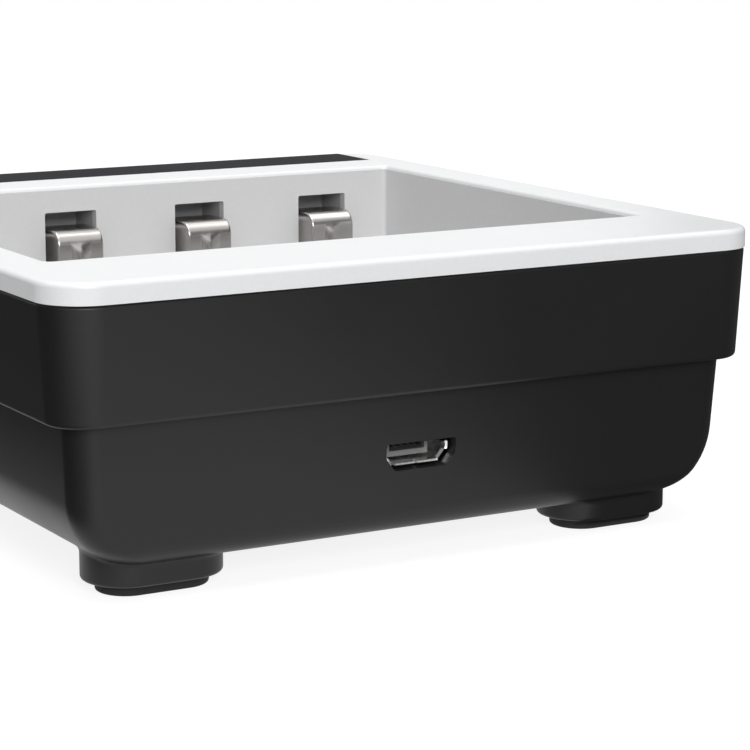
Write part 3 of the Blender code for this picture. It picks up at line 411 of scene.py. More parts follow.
def finish_piece(obj, material, body, nodes):
    """Smooth shading that keeps flats flat, the material, the body and the nodes it stands for."""
    mesh = obj.data
    mesh.materials.clear()
    mesh.materials.append(material)
    mesh.shade_smooth()
    mesh.set_sharp_from_angle(angle=SHARP_ANGLE)
    normals = obj.modifiers.new("flat_normals", "WEIGHTED_NORMAL")
    normals.keep_sharp = True
    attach(obj, body)
    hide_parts(*nodes)


def body_outline(m, inset, corner):
    """The body's outline, drawn in by an inset."""
    return rounded_rectangle(m.half_x - inset, m.half_y - inset, corner)


def well_outline(m, growth, corner):
    """The well's outline, grown by an amount."""
    half_x = sizes().well_width / 2 + growth
    return rounded_rectangle(half_x, m.well_half + growth, corner, (0.0, m.well_middle))


def shell_inset(m, z):
    """How far the upper shell's face lies inside the cover's edge at a height."""
    return sizes().overhang + (m.seam - z) * math.tan(sizes().draft)


def tub_inset(m, z):
    """How far the face of the tub, which sits inside the upper shell, lies inside the cover's edge."""
    s = sizes()
    return shell_inset(m, z) + s.shell_wall + s.fit_gap


def tub_halves(m, z, base, wall):
    """Half sizes of the tub's outline at a height, outside or inside its wall.

    Each wall leans by the draft and runs into the flat bottom through an arc of radius r:
    inset(z) = centre - sqrt(r^2 - (base + r - z)^2). The arc under the sides is the larger one.
    """
    s = sizes()
    halves = []
    for half, radius in ((m.half_x, s.side_radius - wall), (m.half_y, s.face_radius - wall)):
        tangent = base + radius * (1 - math.sin(s.draft))
        centre = tub_inset(m, tangent) + wall + radius * math.cos(s.draft)
        arc = centre - np.sqrt(np.maximum(radius ** 2 - (base + radius - z) ** 2, 0.0))
        halves.append(half - np.where(z < tangent, arc, tub_inset(m, z) + wall))
    return halves


def tub_rings(m, base, top, wall):
    """Rings up the tub, closer together where either arc turns."""
    s = sizes()
    turn = np.linspace(0, math.pi / 2 - s.draft, ARC_STEPS + 1)
    heights = [base + (radius - wall) * (1 - np.cos(turn)) for radius in (s.side_radius, s.face_radius)]
    heights = np.unique(np.round(np.concatenate([*heights, [top]]), 6))
    corner = s.lower_corner - wall
    return [(rounded_rectangle(*tub_halves(m, z, base, wall), corner), z) for z in heights]


def tub_height(m, x, y):
    """Height of the tub's outer face over a point under it, found by halving.

    At height z the point lies outside the outline when the length of
    (max(|x| - a + r, 0), max(|y| - b + r, 0)) is over r, for half sizes a, b and corner radius r.
    """
    radius = sizes().lower_corner
    low = np.full(len(x), m.base)
    high = np.full(len(x), m.lip)
    for _ in range(HALVINGS):
        middle = (low + high) / 2
        half_x, half_y = tub_halves(m, middle, m.base, 0.0)
        beyond_x = np.maximum(np.abs(x) - half_x + radius, 0.0)
        beyond_y = np.maximum(np.abs(y) - half_y + radius, 0.0)
        outside = np.hypot(beyond_x, beyond_y) > radius
        low = np.where(outside, middle, low)
        high = np.where(outside, high, middle)
    return high


def cover_rings(m):
    """Rings round the cover: rounded edge, top, rounded opening, lip and the rebate over the tray."""
    s = sizes()
    under = m.seam + s.seam
    edge = quarter(0.0, m.top - s.cover_edge, s.cover_edge, 0, 90)
    rings = [(body_outline(m, 0.0, s.body_corner), under)]
    rings += [(body_outline(m, inset, s.body_corner - inset), z) for inset, z in edge]
    mouth = quarter(0.0, m.top - s.opening_edge, s.opening_edge, 90, 0)
    corner = s.well_corner + s.opening_step
    rings += [(well_outline(m, s.opening_step + g, corner + g), z) for g, z in mouth]
    rings.append((well_outline(m, s.opening_step, corner), m.top - s.lip))
    rebate = s.tray_wall + s.fit_gap
    rings.append((well_outline(m, rebate, s.well_corner + rebate), m.top - s.lip))
    rings.append((well_outline(m, rebate, s.well_corner + rebate), under))
    return rings


def strip_profile(m):
    """(y, z) round the strip's section: a flat top, a rounded far edge and a lap down behind."""
    s = sizes()
    near = m.half_y - s.strip_setback + s.seam
    far = m.half_y
    base = m.top - s.strip_thickness
    edge = quarter(0.0, m.top - s.cover_edge, s.cover_edge, 90, 0)
    outer = np.column_stack([far - edge[:, 0], edge[:, 1]])
    lap = far - STRIP_LAP
    rest = [(far, m.seam + s.seam), (lap, m.seam + s.seam), (lap, base), (near, base)]
    return np.vstack([[(near, m.top - s.seam), (near + s.seam, m.top)], outer, rest])


def rounded_path(corners, radius, steps=12, runs=8):
    """A polyline with arcs at its corners, and its straight runs cut into equal pieces.

    Each arc is centre + radius (cos a, sin a), tangent to both of its runs.
    """
    corners = np.asarray(corners, float)
    path = [corners[:1]]
    for before, corner, after in zip(corners, corners[1:], corners[2:]):
        back = before - corner
        ahead = after - corner
        spans = np.linalg.norm(back), np.linalg.norm(ahead)
        back, ahead = back / spans[0], ahead / spans[1]
        half = math.acos(np.dot(back, ahead)) / 2
        tangent = min(radius / math.tan(half), spans[0] / 2, spans[1] / 2)
        bend = tangent * math.tan(half)
        middle = (back + ahead) / np.linalg.norm(back + ahead)
        centre = corner + middle * bend / math.sin(half)
        first = corner + back * tangent - centre
        last = corner + ahead * tangent - centre
        start = math.atan2(first[1], first[0])
        turn = (math.atan2(last[1], last[0]) - start + math.pi) % (2 * math.pi) - math.pi
        share = np.linspace(0, 1, runs + 1)[1:, None]
        path.append(path[-1][-1] + (centre + first - path[-1][-1]) * share)
        angle = start + turn * np.linspace(0, 1, steps + 1)[1:]
        path.append(centre + bend * np.column_stack([np.cos(angle), np.sin(angle)]))
    share = np.linspace(0, 1, runs + 1)[1:, None]
    path.append(path[-1][-1] + (corners[-1] - path[-1][-1]) * share)
    return np.concatenate(path)


def leaf_rings(m, x, path, top, foot, front):
    """Rings round a folded leaf: a thin section with round edges carried along its middle line.

    A rib stands out of the front leg. Its height is the pressed height times a ramp at both ends
    and times r (1 + f - f r), with r = 1 - |across| / half width and f the fullness. The half width
    shrinks towards the foot.
    """
    s = sizes()
    half = s.leaf_thickness / 2
    across = np.linspace(-1, 1, LEAF_COLUMNS) * (s.leaf_width / 2 - half)
    edge = np.radians(np.linspace(-90, 90, 7))[1:-1]
    section = np.concatenate([
        np.column_stack([across, np.full(LEAF_COLUMNS, -half)]),
        np.column_stack([s.leaf_width / 2 - half + half * np.cos(edge), half * np.sin(edge)]),
        np.column_stack([across[::-1], np.full(LEAF_COLUMNS, half)]),
        np.column_stack([-s.leaf_width / 2 + half - half * np.cos(edge), -half * np.sin(edge)]),
    ])
    slope = np.gradient(path, axis=0)
    slope /= np.linalg.norm(slope, axis=1, keepdims=True)
    normal = np.column_stack([slope[:, 1], -slope[:, 0]]) * front
    share = (top - path[:, 1]) / (top - foot)
    on_front = (path[:, 0] - m.well_middle) * front > 0
    on_front &= slope[:, 1] < -LEAF_UPRIGHT
    on_front &= np.arange(len(path)) > len(path) / 2
    ramp = np.minimum((share + EMBOSS_LEAD) / EMBOSS_RISE, (1 - share) / EMBOSS_FADE)
    ramp = np.clip(ramp, 0, 1) * on_front
    ramp = ramp * ramp * (3 - 2 * ramp)
    width = s.emboss_width / 2 * (1 - EMBOSS_TAPER * np.clip(share, 0, 1))
    ridge = np.clip(1 - np.abs(section[None, :, 0]) / width[:, None], 0, 1)
    ridge = ridge * (1 + EMBOSS_FULLNESS - EMBOSS_FULLNESS * ridge)
    lift = s.emboss_height * ramp[:, None] * ridge
    offset = section[None, :, 1] + lift
    return np.stack([np.broadcast_to(x + section[None, :, 0], offset.shape),
                     path[:, :1] + normal[:, :1] * offset, path[:, 1:] + normal[:, 1:] * offset], -1)


def add_node(tree, kind, inputs=None, **settings):
    """Add a node with its settings. An input that is a socket is linked, and any other is a value."""
    node = tree.nodes.new(kind)
    for key, value in settings.items():
        setattr(node, key, value)
    for key, value in (inputs or {}).items():
        if isinstance(value, bpy.types.NodeSocket):
            tree.links.new(value, node.inputs[key])
        else:
            node.inputs[key].default_value = value
    return node


def empty_material(name):
    """A material with no nodes yet, and its tree."""
    material = bpy.data.materials.new(name)
    material.use_nodes = True
    material.node_tree.nodes.clear()
    return material, material.node_tree


def plain_material(name, **shader_inputs):
    """A material with only its Principled shader, its output and object coordinates."""
    material, tree = empty_material(name)
    values = {key.replace("_", " ").title().replace("Ior", "IOR"): value
              for key, value in shader_inputs.items()}
    shader = add_node(tree, "ShaderNodeBsdfPrincipled", values)
    add_node(tree, "ShaderNodeOutputMaterial", {"Surface": shader.outputs[0]})
    place = add_node(tree, "ShaderNodeTexCoord").outputs["Object"]
    return material, tree, shader, place


def moulded(name, base, roughness, ior, grain, depth, uneven, gloss=0.5):
    """A moulded plastic or rubber: grain from the tool's surface, and slow changes in sheen.

    The grain is a noise of the given size in millimetres and the given depth in micrometres.
    The sheen changes over about 12 mm, as the melt cooled, and the colour very slightly with the grain.
    Pits in a coarse grain swallow light, which a gloss under 0.5 stands for.
    """
    material, tree, shader, place = plain_material(name, roughness=roughness, ior=ior)
    shader.inputs["Specular IOR Level"].default_value = gloss
    fine = add_node(tree, "ShaderNodeTexNoise",
                    {"Vector": place, "Scale": 1 / (grain * MM), "Detail": 2.0, "Roughness": 0.6})
    slow = add_node(tree, "ShaderNodeTexNoise", {"Vector": place, "Scale": 1 / SHEEN_SPREAD, "Detail": 3.0})
    sheen = add_node(tree, "ShaderNodeMapRange", {
        "Value": slow.outputs["Fac"], "From Min": 0.3, "From Max": 0.7,
        "To Min": roughness - uneven, "To Max": roughness + uneven})
    darker = [channel * GRAIN_SHADE for channel in base[:3]] + [1.0]
    tint = add_node(tree, "ShaderNodeMix",
                    {"Factor": fine.outputs["Fac"], "A": darker, "B": list(base)}, data_type="RGBA")
    bump = add_node(tree, "ShaderNodeBump", {
        "Height": fine.outputs["Fac"], "Distance": depth * MICRON, "Strength": 1.0})
    tree.links.new(tint.outputs["Result"], shader.inputs["Base Color"])
    tree.links.new(sheen.outputs["Result"], shader.inputs["Roughness"])
    tree.links.new(bump.outputs["Normal"], shader.inputs["Normal"])
    return material


def white_cover_abs():
    """White ABS from a lightly polished tool: a clean satin face with hardly any grain."""
    return moulded("white_cover_abs", colours().cover, roughness=0.34, ior=1.54,
                   grain=0.5, depth=1.2, uneven=0.03)


def tray_white_abs_painted_shade():
    """White ABS from a finely textured tool: a flatter white, so the walls shade softly, and set greyer than
    the cover as painted shade on the well's walls.
    """
    return moulded("tray_white_abs_painted_shade", colours().tray, roughness=0.48, ior=1.54,
                   grain=0.4, depth=2.5, uneven=0.04)


def black_shell_abs():
    """Black ABS from a spark-eroded tool: a fine matt grain that spreads highlights into a soft sheen.

    The real grain is about 0.1 mm. It is drawn at 0.3 mm, to show.
    """
    return moulded("black_shell_abs", colours().shell, roughness=0.42, ior=1.54,
                   grain=0.3, depth=5.0, uneven=0.03, gloss=0.32)


def pocket_painted_shade_abs():
    """Painted shade in the pockets behind the slots: a grey that stands for their shadow, on ABS from a
    finely textured tool, flat and even.
    """
    return moulded("pocket_painted_shade_abs", colours().pocket, roughness=0.5, ior=1.54,
                   grain=0.4, depth=2.5, uneven=0.04, gloss=0.3)


def smoked_strip_polycarbonate():
    """Smoked polycarbonate with a fine matt face: dark grey and even, with no lamp showing when off."""
    return moulded("smoked_strip_polycarbonate", colours().strip, roughness=0.7, ior=1.58,
                   grain=0.3, depth=2.0, uneven=0.02, gloss=0.03)


def pad_rubber():
    """Moulded black rubber: dull, with a soft grain and almost no highlight."""
    return moulded("pad_rubber", colours().rubber, roughness=0.7, ior=1.52,
                   grain=0.35, depth=12.0, uneven=0.05, gloss=0.4)


def plated(name, base, roughness, streak, depth):
    """A plated sheet metal: fine streaks along its length, left by rolling, which stretch highlights.

    The streaks are a noise squeezed to the given width in millimetres across X and drawn out along
    Y and Z.
    """
    material, tree, shader, place = plain_material(
        name, base_color=list(base), metallic=1.0, roughness=roughness)
    narrow = 1 / (streak * MM)
    stretched = add_node(tree, "ShaderNodeMapping",
                         {"Vector": place, "Scale": (narrow, narrow / STREAK_RATIO, narrow / STREAK_RATIO)})
    lines = add_node(tree, "ShaderNodeTexNoise",
                     {"Vector": stretched.outputs[0], "Scale": 1.0, "Detail": 3.0, "Roughness": 0.6})
    cloud = add_node(tree, "ShaderNodeTexNoise", {"Vector": place, "Scale": 1 / CLOUD_SPREAD, "Detail": 2.0})
    rough = add_node(tree, "ShaderNodeMapRange", {
        "Value": cloud.outputs["Fac"], "From Min": 0.3, "From Max": 0.7,
        "To Min": roughness * 0.92, "To Max": roughness * 1.1})
    bump = add_node(tree, "ShaderNodeBump", {
        "Height": lines.outputs["Fac"], "Distance": depth * MICRON, "Strength": 1.0})
    tree.links.new(rough.outputs["Result"], shader.inputs["Roughness"])
    tree.links.new(bump.outputs["Normal"], shader.inputs["Normal"])
    return material


def nickel_spring_steel():
    """Nickel-plated spring steel, rolled and folded: a bright, slightly warm grey with fine streaks."""
    return plated("nickel_spring_steel", colours().nickel, roughness=0.22, streak=0.12, depth=0.7)


def tinned_socket_steel():
    """Tin-plated steel sheet, blanked and folded: a brighter, colder grey than the contacts."""
    return plated("tinned_socket_steel", colours().tin, roughness=0.26, streak=0.1, depth=0.8)


def zinc_screw_steel():
    """Zinc-plated cold-headed steel: a dull bluish grey."""
    return plated("zinc_screw_steel", linear("9A9DA1"), roughness=0.36, streak=0.15, depth=2.0)


def gold_flash_bronze_painted_shade():
    """Gold-flashed bronze fingers: a thin plating, coloured a dark brown that paints the shade inside the
    inlet.
    """
    return plated("gold_flash_bronze_painted_shade", linear("2E281C"), roughness=0.35, streak=0.1, depth=0.5)


def grey_socket_polymer():
    """Grey liquid-crystal polymer: a hard matt face with faint flow marks."""
    return moulded("grey_socket_polymer", linear("8B8C8C"), roughness=0.5, ior=1.6,
                   grain=0.2, depth=1.5, uneven=0.04)


def chip_epoxy():
    """Black moulding epoxy of the chips: matt, with a fine sparkle of filler."""
    return moulded("chip_epoxy", linear("1D1D1F"), roughness=0.6, ior=1.55,
                   grain=0.15, depth=4.0, uneven=0.03)


def sintered_ferrite():
    """Sintered ferrite of the inductor: dark grey and porous."""
    return moulded("sintered_ferrite", linear("3A3A3C"), roughness=0.7, ior=1.9,
                   grain=0.25, depth=9.0, uneven=0.05)


def capacitor_sleeve():
    """Shrunk sleeve of the capacitor: dark blue film with a soft gloss."""
    return moulded("capacitor_sleeve", linear("23304F"), roughness=0.35, ior=1.57,
                   grain=0.8, depth=1.0, uneven=0.04)


def board_laminate():
    """Glass laminate under dark green solder resist: the weave prints through as a grid 1 mm apart."""
    material, tree, shader, place = plain_material(
        "board_laminate", base_color=linear("14231B"), roughness=0.42, ior=1.53)
    weave = add_node(tree, "ShaderNodeTexWave", {"Vector": place, "Scale": WEAVE_SCALE},
                     bands_direction="X")
    cross = add_node(tree, "ShaderNodeTexWave", {"Vector": place, "Scale": WEAVE_SCALE},
                     bands_direction="Y")
    both = add_node(tree, "ShaderNodeMath", {0: weave.outputs["Fac"], 1: cross.outputs["Fac"]},
                    operation="MULTIPLY")
    bump = add_node(tree, "ShaderNodeBump", {"Height": both.outputs[0], "Distance": 3 * MICRON})
    tree.links.new(bump.outputs["Normal"], shader.inputs["Normal"])
    return material


def clear_resin(name, base, roughness):
    """A clear moulded rod or lamp: light passes through a slightly uneven skin."""
    material, tree, shader, place = plain_material(
        name, base_color=base, roughness=roughness, ior=1.49, transmission_weight=1.0)
    skin = add_node(tree, "ShaderNodeTexNoise", {"Vector": place, "Scale": 1 / SKIN_SPREAD})
    bump = add_node(tree, "ShaderNodeBump", {"Height": skin.outputs["Fac"], "Distance": 4 * MICRON})
    tree.links.new(bump.outputs["Normal"], shader.inputs["Normal"])
    return material


def build_cover():
    """The white frame, with the strip's recess cut into its far end."""
    s = sizes()
    m = measures()
    cover = make_object("cover_moulding", [shell_of(loft(cover_rings(m)), looped=True)])
    near = m.half_y - s.strip_setback
    floor = m.top - s.strip_thickness - s.seam
    back = m.half_y - STRIP_LAP - s.seam
    above = m.top + OVERCUT
    behind = m.half_y + OVERCUT
    outline = [(near, above), (near, floor), (back, floor), (back, m.seam),
               (behind, m.seam), (behind, above)]
    half = m.half_x - s.strip_margin
    combine(cover, "DIFFERENCE", [shell_of(prism(outline, "X", -half, half))])
    finish_piece(cover, white_cover_abs(), "root", ["top_cover"])


def build_strip():
    """The dark strip that lies in the recess and laps down over the far edge."""
    s = sizes()
    m = measures()
    half = m.half_x - s.strip_margin - s.seam
    strip = make_object("strip_moulding", [shell_of(prism(strip_profile(m), "X", -half, half))])
    finish_piece(strip, smoked_strip_polycarbonate(), "root", ["indicator_strip"])


def build_upper_shell():
    """The black skirt: a drafted wall with a rounded foot and a finely rounded rim."""
    s = sizes()
    m = measures()
    foot = shell_inset(m, m.parting)
    lower_edge = quarter(foot, m.parting + s.shell_edge, s.shell_edge, -90, 0)
    rim = quarter(shell_inset(m, m.seam), m.seam - s.shell_rim, s.shell_rim, 0, 90)
    inner = [(shell_inset(m, m.seam) + s.shell_wall, m.seam), (foot + s.shell_wall, m.parting)]
    rows = np.vstack([lower_edge, rim, inner])
    rings = [(body_outline(m, inset, s.body_corner - inset), z) for inset, z in rows]
    shell = make_object("upper_shell_moulding", [shell_of(loft(rings), looped=True)])
    finish_piece(shell, black_shell_abs(), "root", ["upper_housing"])


def socket_corners(growth):
    """(x, z) corners of the inlet's outline, wide at the top, taken from its shell's box."""
    low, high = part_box("usb_shell")
    middle = (low.x + high.x) / 2
    half = (high.x - low.x) / 2 + growth
    shoulder = high.z - sizes().socket_shoulder - growth * SHOULDER_SHARE
    foot = half - sizes().socket_bevel - growth * FOOT_SHARE
    top = high.z + growth
    base = low.z - growth
    corners = [(half, top), (half, shoulder), (foot, base), (-foot, base), (-half, shoulder), (-half, top)]
    return [(x + middle, z) for x, z in corners]


def boss_rings(m, x, y, half_x, half_y, radius):
    """Rings up one foot boss: a rounded lower edge, an upright wall and a fillet onto the tub.

    The fillet is (1 - t)^2 A + 2 t (1 - t) P + t^2 B, where P is where the wall meets the tub, A lies
    below it on the wall and B outside it on the tub.
    """
    s = sizes()
    edge = quarter(0.0, m.boss_foot + BOSS_EDGE, BOSS_EDGE, -90, 0)
    outlines = [rounded_rectangle(half_x - i, half_y - i, radius - i, (x, y)) for i, _ in edge]
    rows = [np.column_stack([outline, np.full(len(outline), z)]) for outline, (_, z) in zip(outlines, edge)]
    wall = rounded_rectangle(half_x, half_y, radius, (x, y))
    wide = rounded_rectangle(half_x + PROBE, half_y + PROBE, radius + PROBE, (x, y))
    outward = (wide - wall) / PROBE
    met = tub_height(m, wall[:, 0], wall[:, 1])
    rise = (tub_height(m, wide[:, 0], wide[:, 1]) - met) / PROBE
    reach = s.boss_fillet / np.sqrt(1 + rise ** 2)
    out = wall + outward * reach[:, None]
    top = tub_height(m, out[:, 0], out[:, 1])
    low = np.maximum(met - s.boss_fillet, m.boss_foot + BOSS_EDGE + SLIVER)
    a = np.column_stack([wall, low])
    p = np.column_stack([wall, met])
    b = np.column_stack([out, top])
    t = np.linspace(0, 1, FILLET_STEPS + 1)[:, None, None]
    fillet = (1 - t) ** 2 * a + 2 * t * (1 - t) * p + t ** 2 * b
    sunk = np.column_stack([out, top + SLIVER])
    inside = np.column_stack([wall - outward * OVERCUT, np.maximum(top, met) + BOSS_SINK])
    return np.concatenate([np.stack(rows), fillet, sunk[None], inside[None]])


def build_tub():
    """The black tub: drafted walls, a large bottom radius, bosses, screw bores and the inlet's hole."""
    s = sizes()
    m = measures()
    outside = tub_rings(m, m.base, m.lip, 0.0)
    inside = tub_rings(m, m.base + s.tub_floor, m.lip, s.tub_wall)
    tub = make_object("tub_moulding", [shell_of(loft(outside + inside[::-1]))])
    bores = []
    for name in CORNERS:
        low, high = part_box(f"housing_screw_{name}")
        middle = (low + high) / 2
        bore = (high.x - low.x) / 2 + s.fit_gap
        seat = low.z + SCREW_SEAT
        bores.append(shell_of(turned([(bore, m.base - OVERCUT), (bore, seat)], middle.x, middle.y)))
    combine(tub, "DIFFERENCE", bores)
    hole = rounded_polygon(socket_corners(HOLE_GAP), HOLE_CORNER)
    combine(tub, "DIFFERENCE", [shell_of(prism(hole, "Y", -m.half_y - OVERCUT, -m.half_y + HOLE_DEPTH))])
    bosses = []
    for x, y, half_x, half_y in pad_places():
        radius = s.pad_corner + s.boss_margin
        rings = boss_rings(m, x, y, half_x + s.boss_margin, half_y + s.boss_margin, radius)
        bosses.append(shell_of(rings))
    extra = make_object("bosses", bosses)
    solids = bmesh.new()
    solids.from_mesh(tub.data)
    solids.from_mesh(extra.data)
    solids.to_mesh(tub.data)
    solids.free()
    bpy.data.objects.remove(extra)
    finish_piece(tub, black_shell_abs(), "root", ["lower_housing"])


def pad_places():
    """X, Y and half sizes of each foot pad."""
    places = []
    for name in CORNERS:
        low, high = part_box(f"foot_pad_{name}")
        places.append(((low.x + high.x) / 2, (low.y + high.y) / 2,
                       (high.x - low.x) / 2, (high.y - low.y) / 2))
    return places


def build_pads():
    """Four rubber pads with rounded lower edges, each let into its boss."""
    s = sizes()
    material = pad_rubber()
    for name, (x, y, half_x, half_y) in zip(CORNERS, pad_places()):
        low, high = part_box(f"foot_pad_{name}")
        rows = np.vstack([quarter(0.0, low.z + PAD_EDGE, PAD_EDGE, -90, 0), [(0.0, high.z)]])
        rings = [(rounded_rectangle(half_x - i, half_y - i, s.pad_corner - i, (x, y)), z) for i, z in rows]
        pad = make_object(f"rubber_pad_{name}", [shell_of(loft(rings))])
        finish_piece(pad, material, "root", [f"foot_pad_{name}"])


def trough_section(m, x, steps=40):
    """(x, z) round one trough: an arc of the trough's radius below the cell's axis, open above."""
    s = sizes()
    reach = math.acos((m.axis - m.crest) / s.trough_radius)
    angle = np.linspace(-reach, reach, steps + 1)
    arc = np.column_stack([x + s.trough_radius * np.sin(angle), m.axis - s.trough_radius * np.cos(angle)])
    return np.vstack([arc, [(arc[-1, 0], m.crest + OVERCUT), (arc[0, 0], m.crest + OVERCUT)]])


def build_tray():
    """The white tray: well, troughs, contact slots with their pockets, and ribs by the fixed contacts."""
    s = sizes()
    m = measures()
    top = m.top - s.lip - TRAY_GAP
    outer = well_outline(m, s.tray_wall, s.well_corner + s.tray_wall)
    tray = make_object("tray_moulding", [shell_of(loft([(outer, m.tray_base), (outer, top)]))])
    half = s.slot_width / 2
    wall = m.well_far + s.tray_wall
    back = wall + s.pocket_depth
    boxes = [shell_of(block((x - half - POCKET_WALL, wall - OVERLAP, m.tray_base),
                            (x + half + POCKET_WALL, back + POCKET_WALL, m.slot_top + POCKET_WALL)))
             for x in m.bays]
    combine(tray, "UNION", boxes)
    inner = well_outline(m, 0.0, s.well_corner)
    combine(tray, "DIFFERENCE", [shell_of(loft([(inner, m.crest), (inner, m.top + OVERCUT)]))])
    trough_near = m.well_near + s.fixed_reach + TROUGH_START
    ends = (trough_near, m.well_far - TROUGH_STOP)
    combine(tray, "DIFFERENCE", [shell_of(prism(trough_section(m, x), "Y", *ends)) for x in m.bays])
    sill = m.axis - s.trough_radius + SLOT_SILL
    mouths = []
    pockets = []
    for x in m.bays:
        corners = [(x - half, sill), (x + half, sill), (x + half, m.slot_top), (x - half, m.slot_top)]
        mouth = rounded_polygon(corners, s.slot_edge)
        mouths.append(shell_of(prism(mouth, "Y", m.well_far - OVERCUT, wall + OVERCUT)))
        pockets.append(shell_of(block((x - half, wall, m.tray_base - OVERCUT), (x + half, back, m.slot_top))))
    combine(tray, "DIFFERENCE", mouths)
    combine(tray, "DIFFERENCE", pockets)
    windows = [shell_of(block((x - half, m.well_near + WINDOW_STEP, m.tray_base - OVERCUT),
                              (x + half, trough_near + OVERLAP, m.crest + OVERCUT))) for x in m.bays]
    combine(tray, "DIFFERENCE", windows)
    rib_top = m.crest + s.guard_height
    rib_foot = m.crest - GUARD_ROOT
    rib_near = m.well_near - GUARD_ROOT
    rib_far = trough_near - GUARD_GAP
    section = [(rib_near, rib_foot), (rib_far, rib_foot), (rib_far, rib_top - GUARD_CHAMFER_HEIGHT),
               (rib_far - GUARD_CHAMFER_DEPTH, rib_top), (rib_near, rib_top)]
    section = rounded_polygon(section, GUARD_EDGE)
    inner_face = half + GUARD_GAP
    spans = [sorted((x + side * inner_face, x + side * (inner_face + s.guard_width)))
             for x in m.bays for side in (-1, 1)]
    combine(tray, "UNION", [shell_of(prism(section, "X", *span)) for span in spans])
    finish_piece(tray, tray_white_abs_painted_shade(), "root", ["battery_tray"])
    paint_pocket_shade(tray, wall + SLIVER)


def paint_pocket_shade(tray, start):
    """Painted shade: grey inside the pockets, from a depth on, standing for the shadow there."""
    mesh = tray.data
    mesh.materials.append(pocket_painted_shade_abs())
    centres = np.empty(len(mesh.polygons) * 3)
    mesh.polygons.foreach_get("center", centres)
    mesh.polygons.foreach_set("material_index", (centres[1::3] > start).astype(np.int32))


def build_contacts():
    """Eight folded leaves: a spring one at the far end of each bay and a fixed one at its near end."""
    s = sizes()
    m = measures()
    material = nickel_spring_steel()
    half = s.leaf_thickness / 2
    for number, x in enumerate(m.bays, start=1):
        low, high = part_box(f"spring_contact_{number}")
        leg = high.y - half
        face = m.well_far - s.leaf_reach + half
        top = high.z - half
        foot = m.axis - SPRING_FOOT
        tail = (face + TAIL_REACH, foot - TAIL_DROP)
        corners = [(leg, low.z), (leg, top), (face, top), (face, foot), tail]
        path = rounded_path(corners, s.leaf_bend)
        rings = leaf_rings(m, x, path, top - s.leaf_bend, foot + s.leaf_bend, 1)
        leaf = make_object(f"spring_leaf_{number}", [shell_of(rings)])
        nodes = [f"spring_contact_{number}"]
        finish_piece(leaf, material, f"spring_leaf_{number}", nodes)
        low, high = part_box(f"fixed_contact_{number}")
        leg = low.y + half
        face = m.well_near + s.fixed_reach - half
        foot = m.axis - FIXED_FOOT
        tail = (face - TAIL_REACH, foot - TAIL_DROP)
        corners = [(leg, low.z), (leg, top), (face, top), (face, foot), tail]
        path = rounded_path(corners, s.leaf_bend)
        rings = leaf_rings(m, x, path, top - s.leaf_bend, foot + s.leaf_bend, -1)
        leaf = make_object(f"fixed_leaf_{number}", [shell_of(rings)])
        finish_piece(leaf, material, "root", [f"fixed_contact_{number}"])


def build_socket():
    """The inlet's folded shell: a seam under it, and lips left proud below and at both sides."""
    s = sizes()
    low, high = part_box("usb_shell")
    arc = quarter(0.0, 0.0, s.socket_sheet / 3, 0, 90, 4)
    outer = np.column_stack([-arc[:, 0], low.y + s.socket_sheet / 3 - arc[:, 1]])
    inner = outer[::-1] * (-1, 1) - (s.socket_sheet, 0)
    inner[:, 1] += s.socket_flare
    rows = np.vstack([[(0.0, high.y)], outer, inner, [(-s.socket_sheet, high.y)]])
    rings = []
    for growth, y in rows:
        section = rounded_polygon(socket_corners(growth), SHELL_CORNER)
        rings.append(np.column_stack([section[:, 0], np.full(len(section), y), section[:, 1]]))
    shell = make_object("socket_shell", [shell_of(np.stack(rings), looped=True)])
    middle = (low.x + high.x) / 2
    front = low.y - OVERCUT
    below = low.z - OVERCUT
    left_end = low.x - OVERCUT
    right_end = high.x + OVERCUT
    seam = block((middle - SEAM_HALF, front, below),
                 (middle + SEAM_HALF, low.y + SEAM_DEPTH, low.z + SEAM_HEIGHT))
    setback = low.y + LIP_SETBACK
    shoulder = high.z - s.socket_shoulder
    bevel = s.socket_bevel + LIP_TRIM
    left = block((left_end, front, below), (low.x + bevel, setback, shoulder))
    right = block((high.x - bevel, front, below), (right_end, setback, shoulder))
    top = block((left_end, front, high.z - TOP_CUT),
                (right_end, low.y + TOP_SETBACK, high.z + OVERCUT))
    for cut in (seam, left, right, top):
        combine(shell, "DIFFERENCE", [shell_of(cut)])
    finish_piece(shell, tinned_socket_steel(), "root", ["usb_shell"])


def build_tongue():
    """The inlet's tongue, with a mouth open in front and above, and the five fingers in that mouth."""
    s = sizes()
    low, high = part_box("usb_tongue")
    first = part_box("usb_finger_1")[0]
    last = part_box("usb_finger_5")[1]
    front = low.y + s.tongue_setback
    back = high.y - TONGUE_BLOCK
    half = s.tongue_width / 2
    middle = (low.x + high.x) / 2
    blade = block((middle - half, front, last.z - s.tongue_thickness),
                  (middle + half, back + OVERLAP, last.z))
    tongue = make_object("socket_tongue", [shell_of(blade)])
    mouth = block((first.x - MOUTH_MARGIN, front - OVERCUT, last.z - MOUTH_HEIGHT),
                  (last.x + MOUTH_MARGIN, front + MOUTH_DEPTH, last.z + OVERCUT))
    combine(tongue, "DIFFERENCE", [shell_of(mouth)])
    section = rounded_polygon(socket_corners(-s.socket_sheet - SLIVER), TONGUE_CORNER)
    combine(tongue, "UNION", [shell_of(prism(section, "Y", back, high.y))])
    finish_piece(tongue, grey_socket_polymer(), "root", ["usb_tongue"])
    names = [f"usb_finger_{number}" for number in (1, 2, 3, 4, 5)]
    strips = []
    for name in names:
        low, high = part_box(name)
        strips.append(shell_of(block((low.x, front + FINGER_SETBACK, low.z), high)))
    fingers = make_object("socket_fingers", strips)
    finish_piece(fingers, gold_flash_bronze_painted_shade(), "root", names)


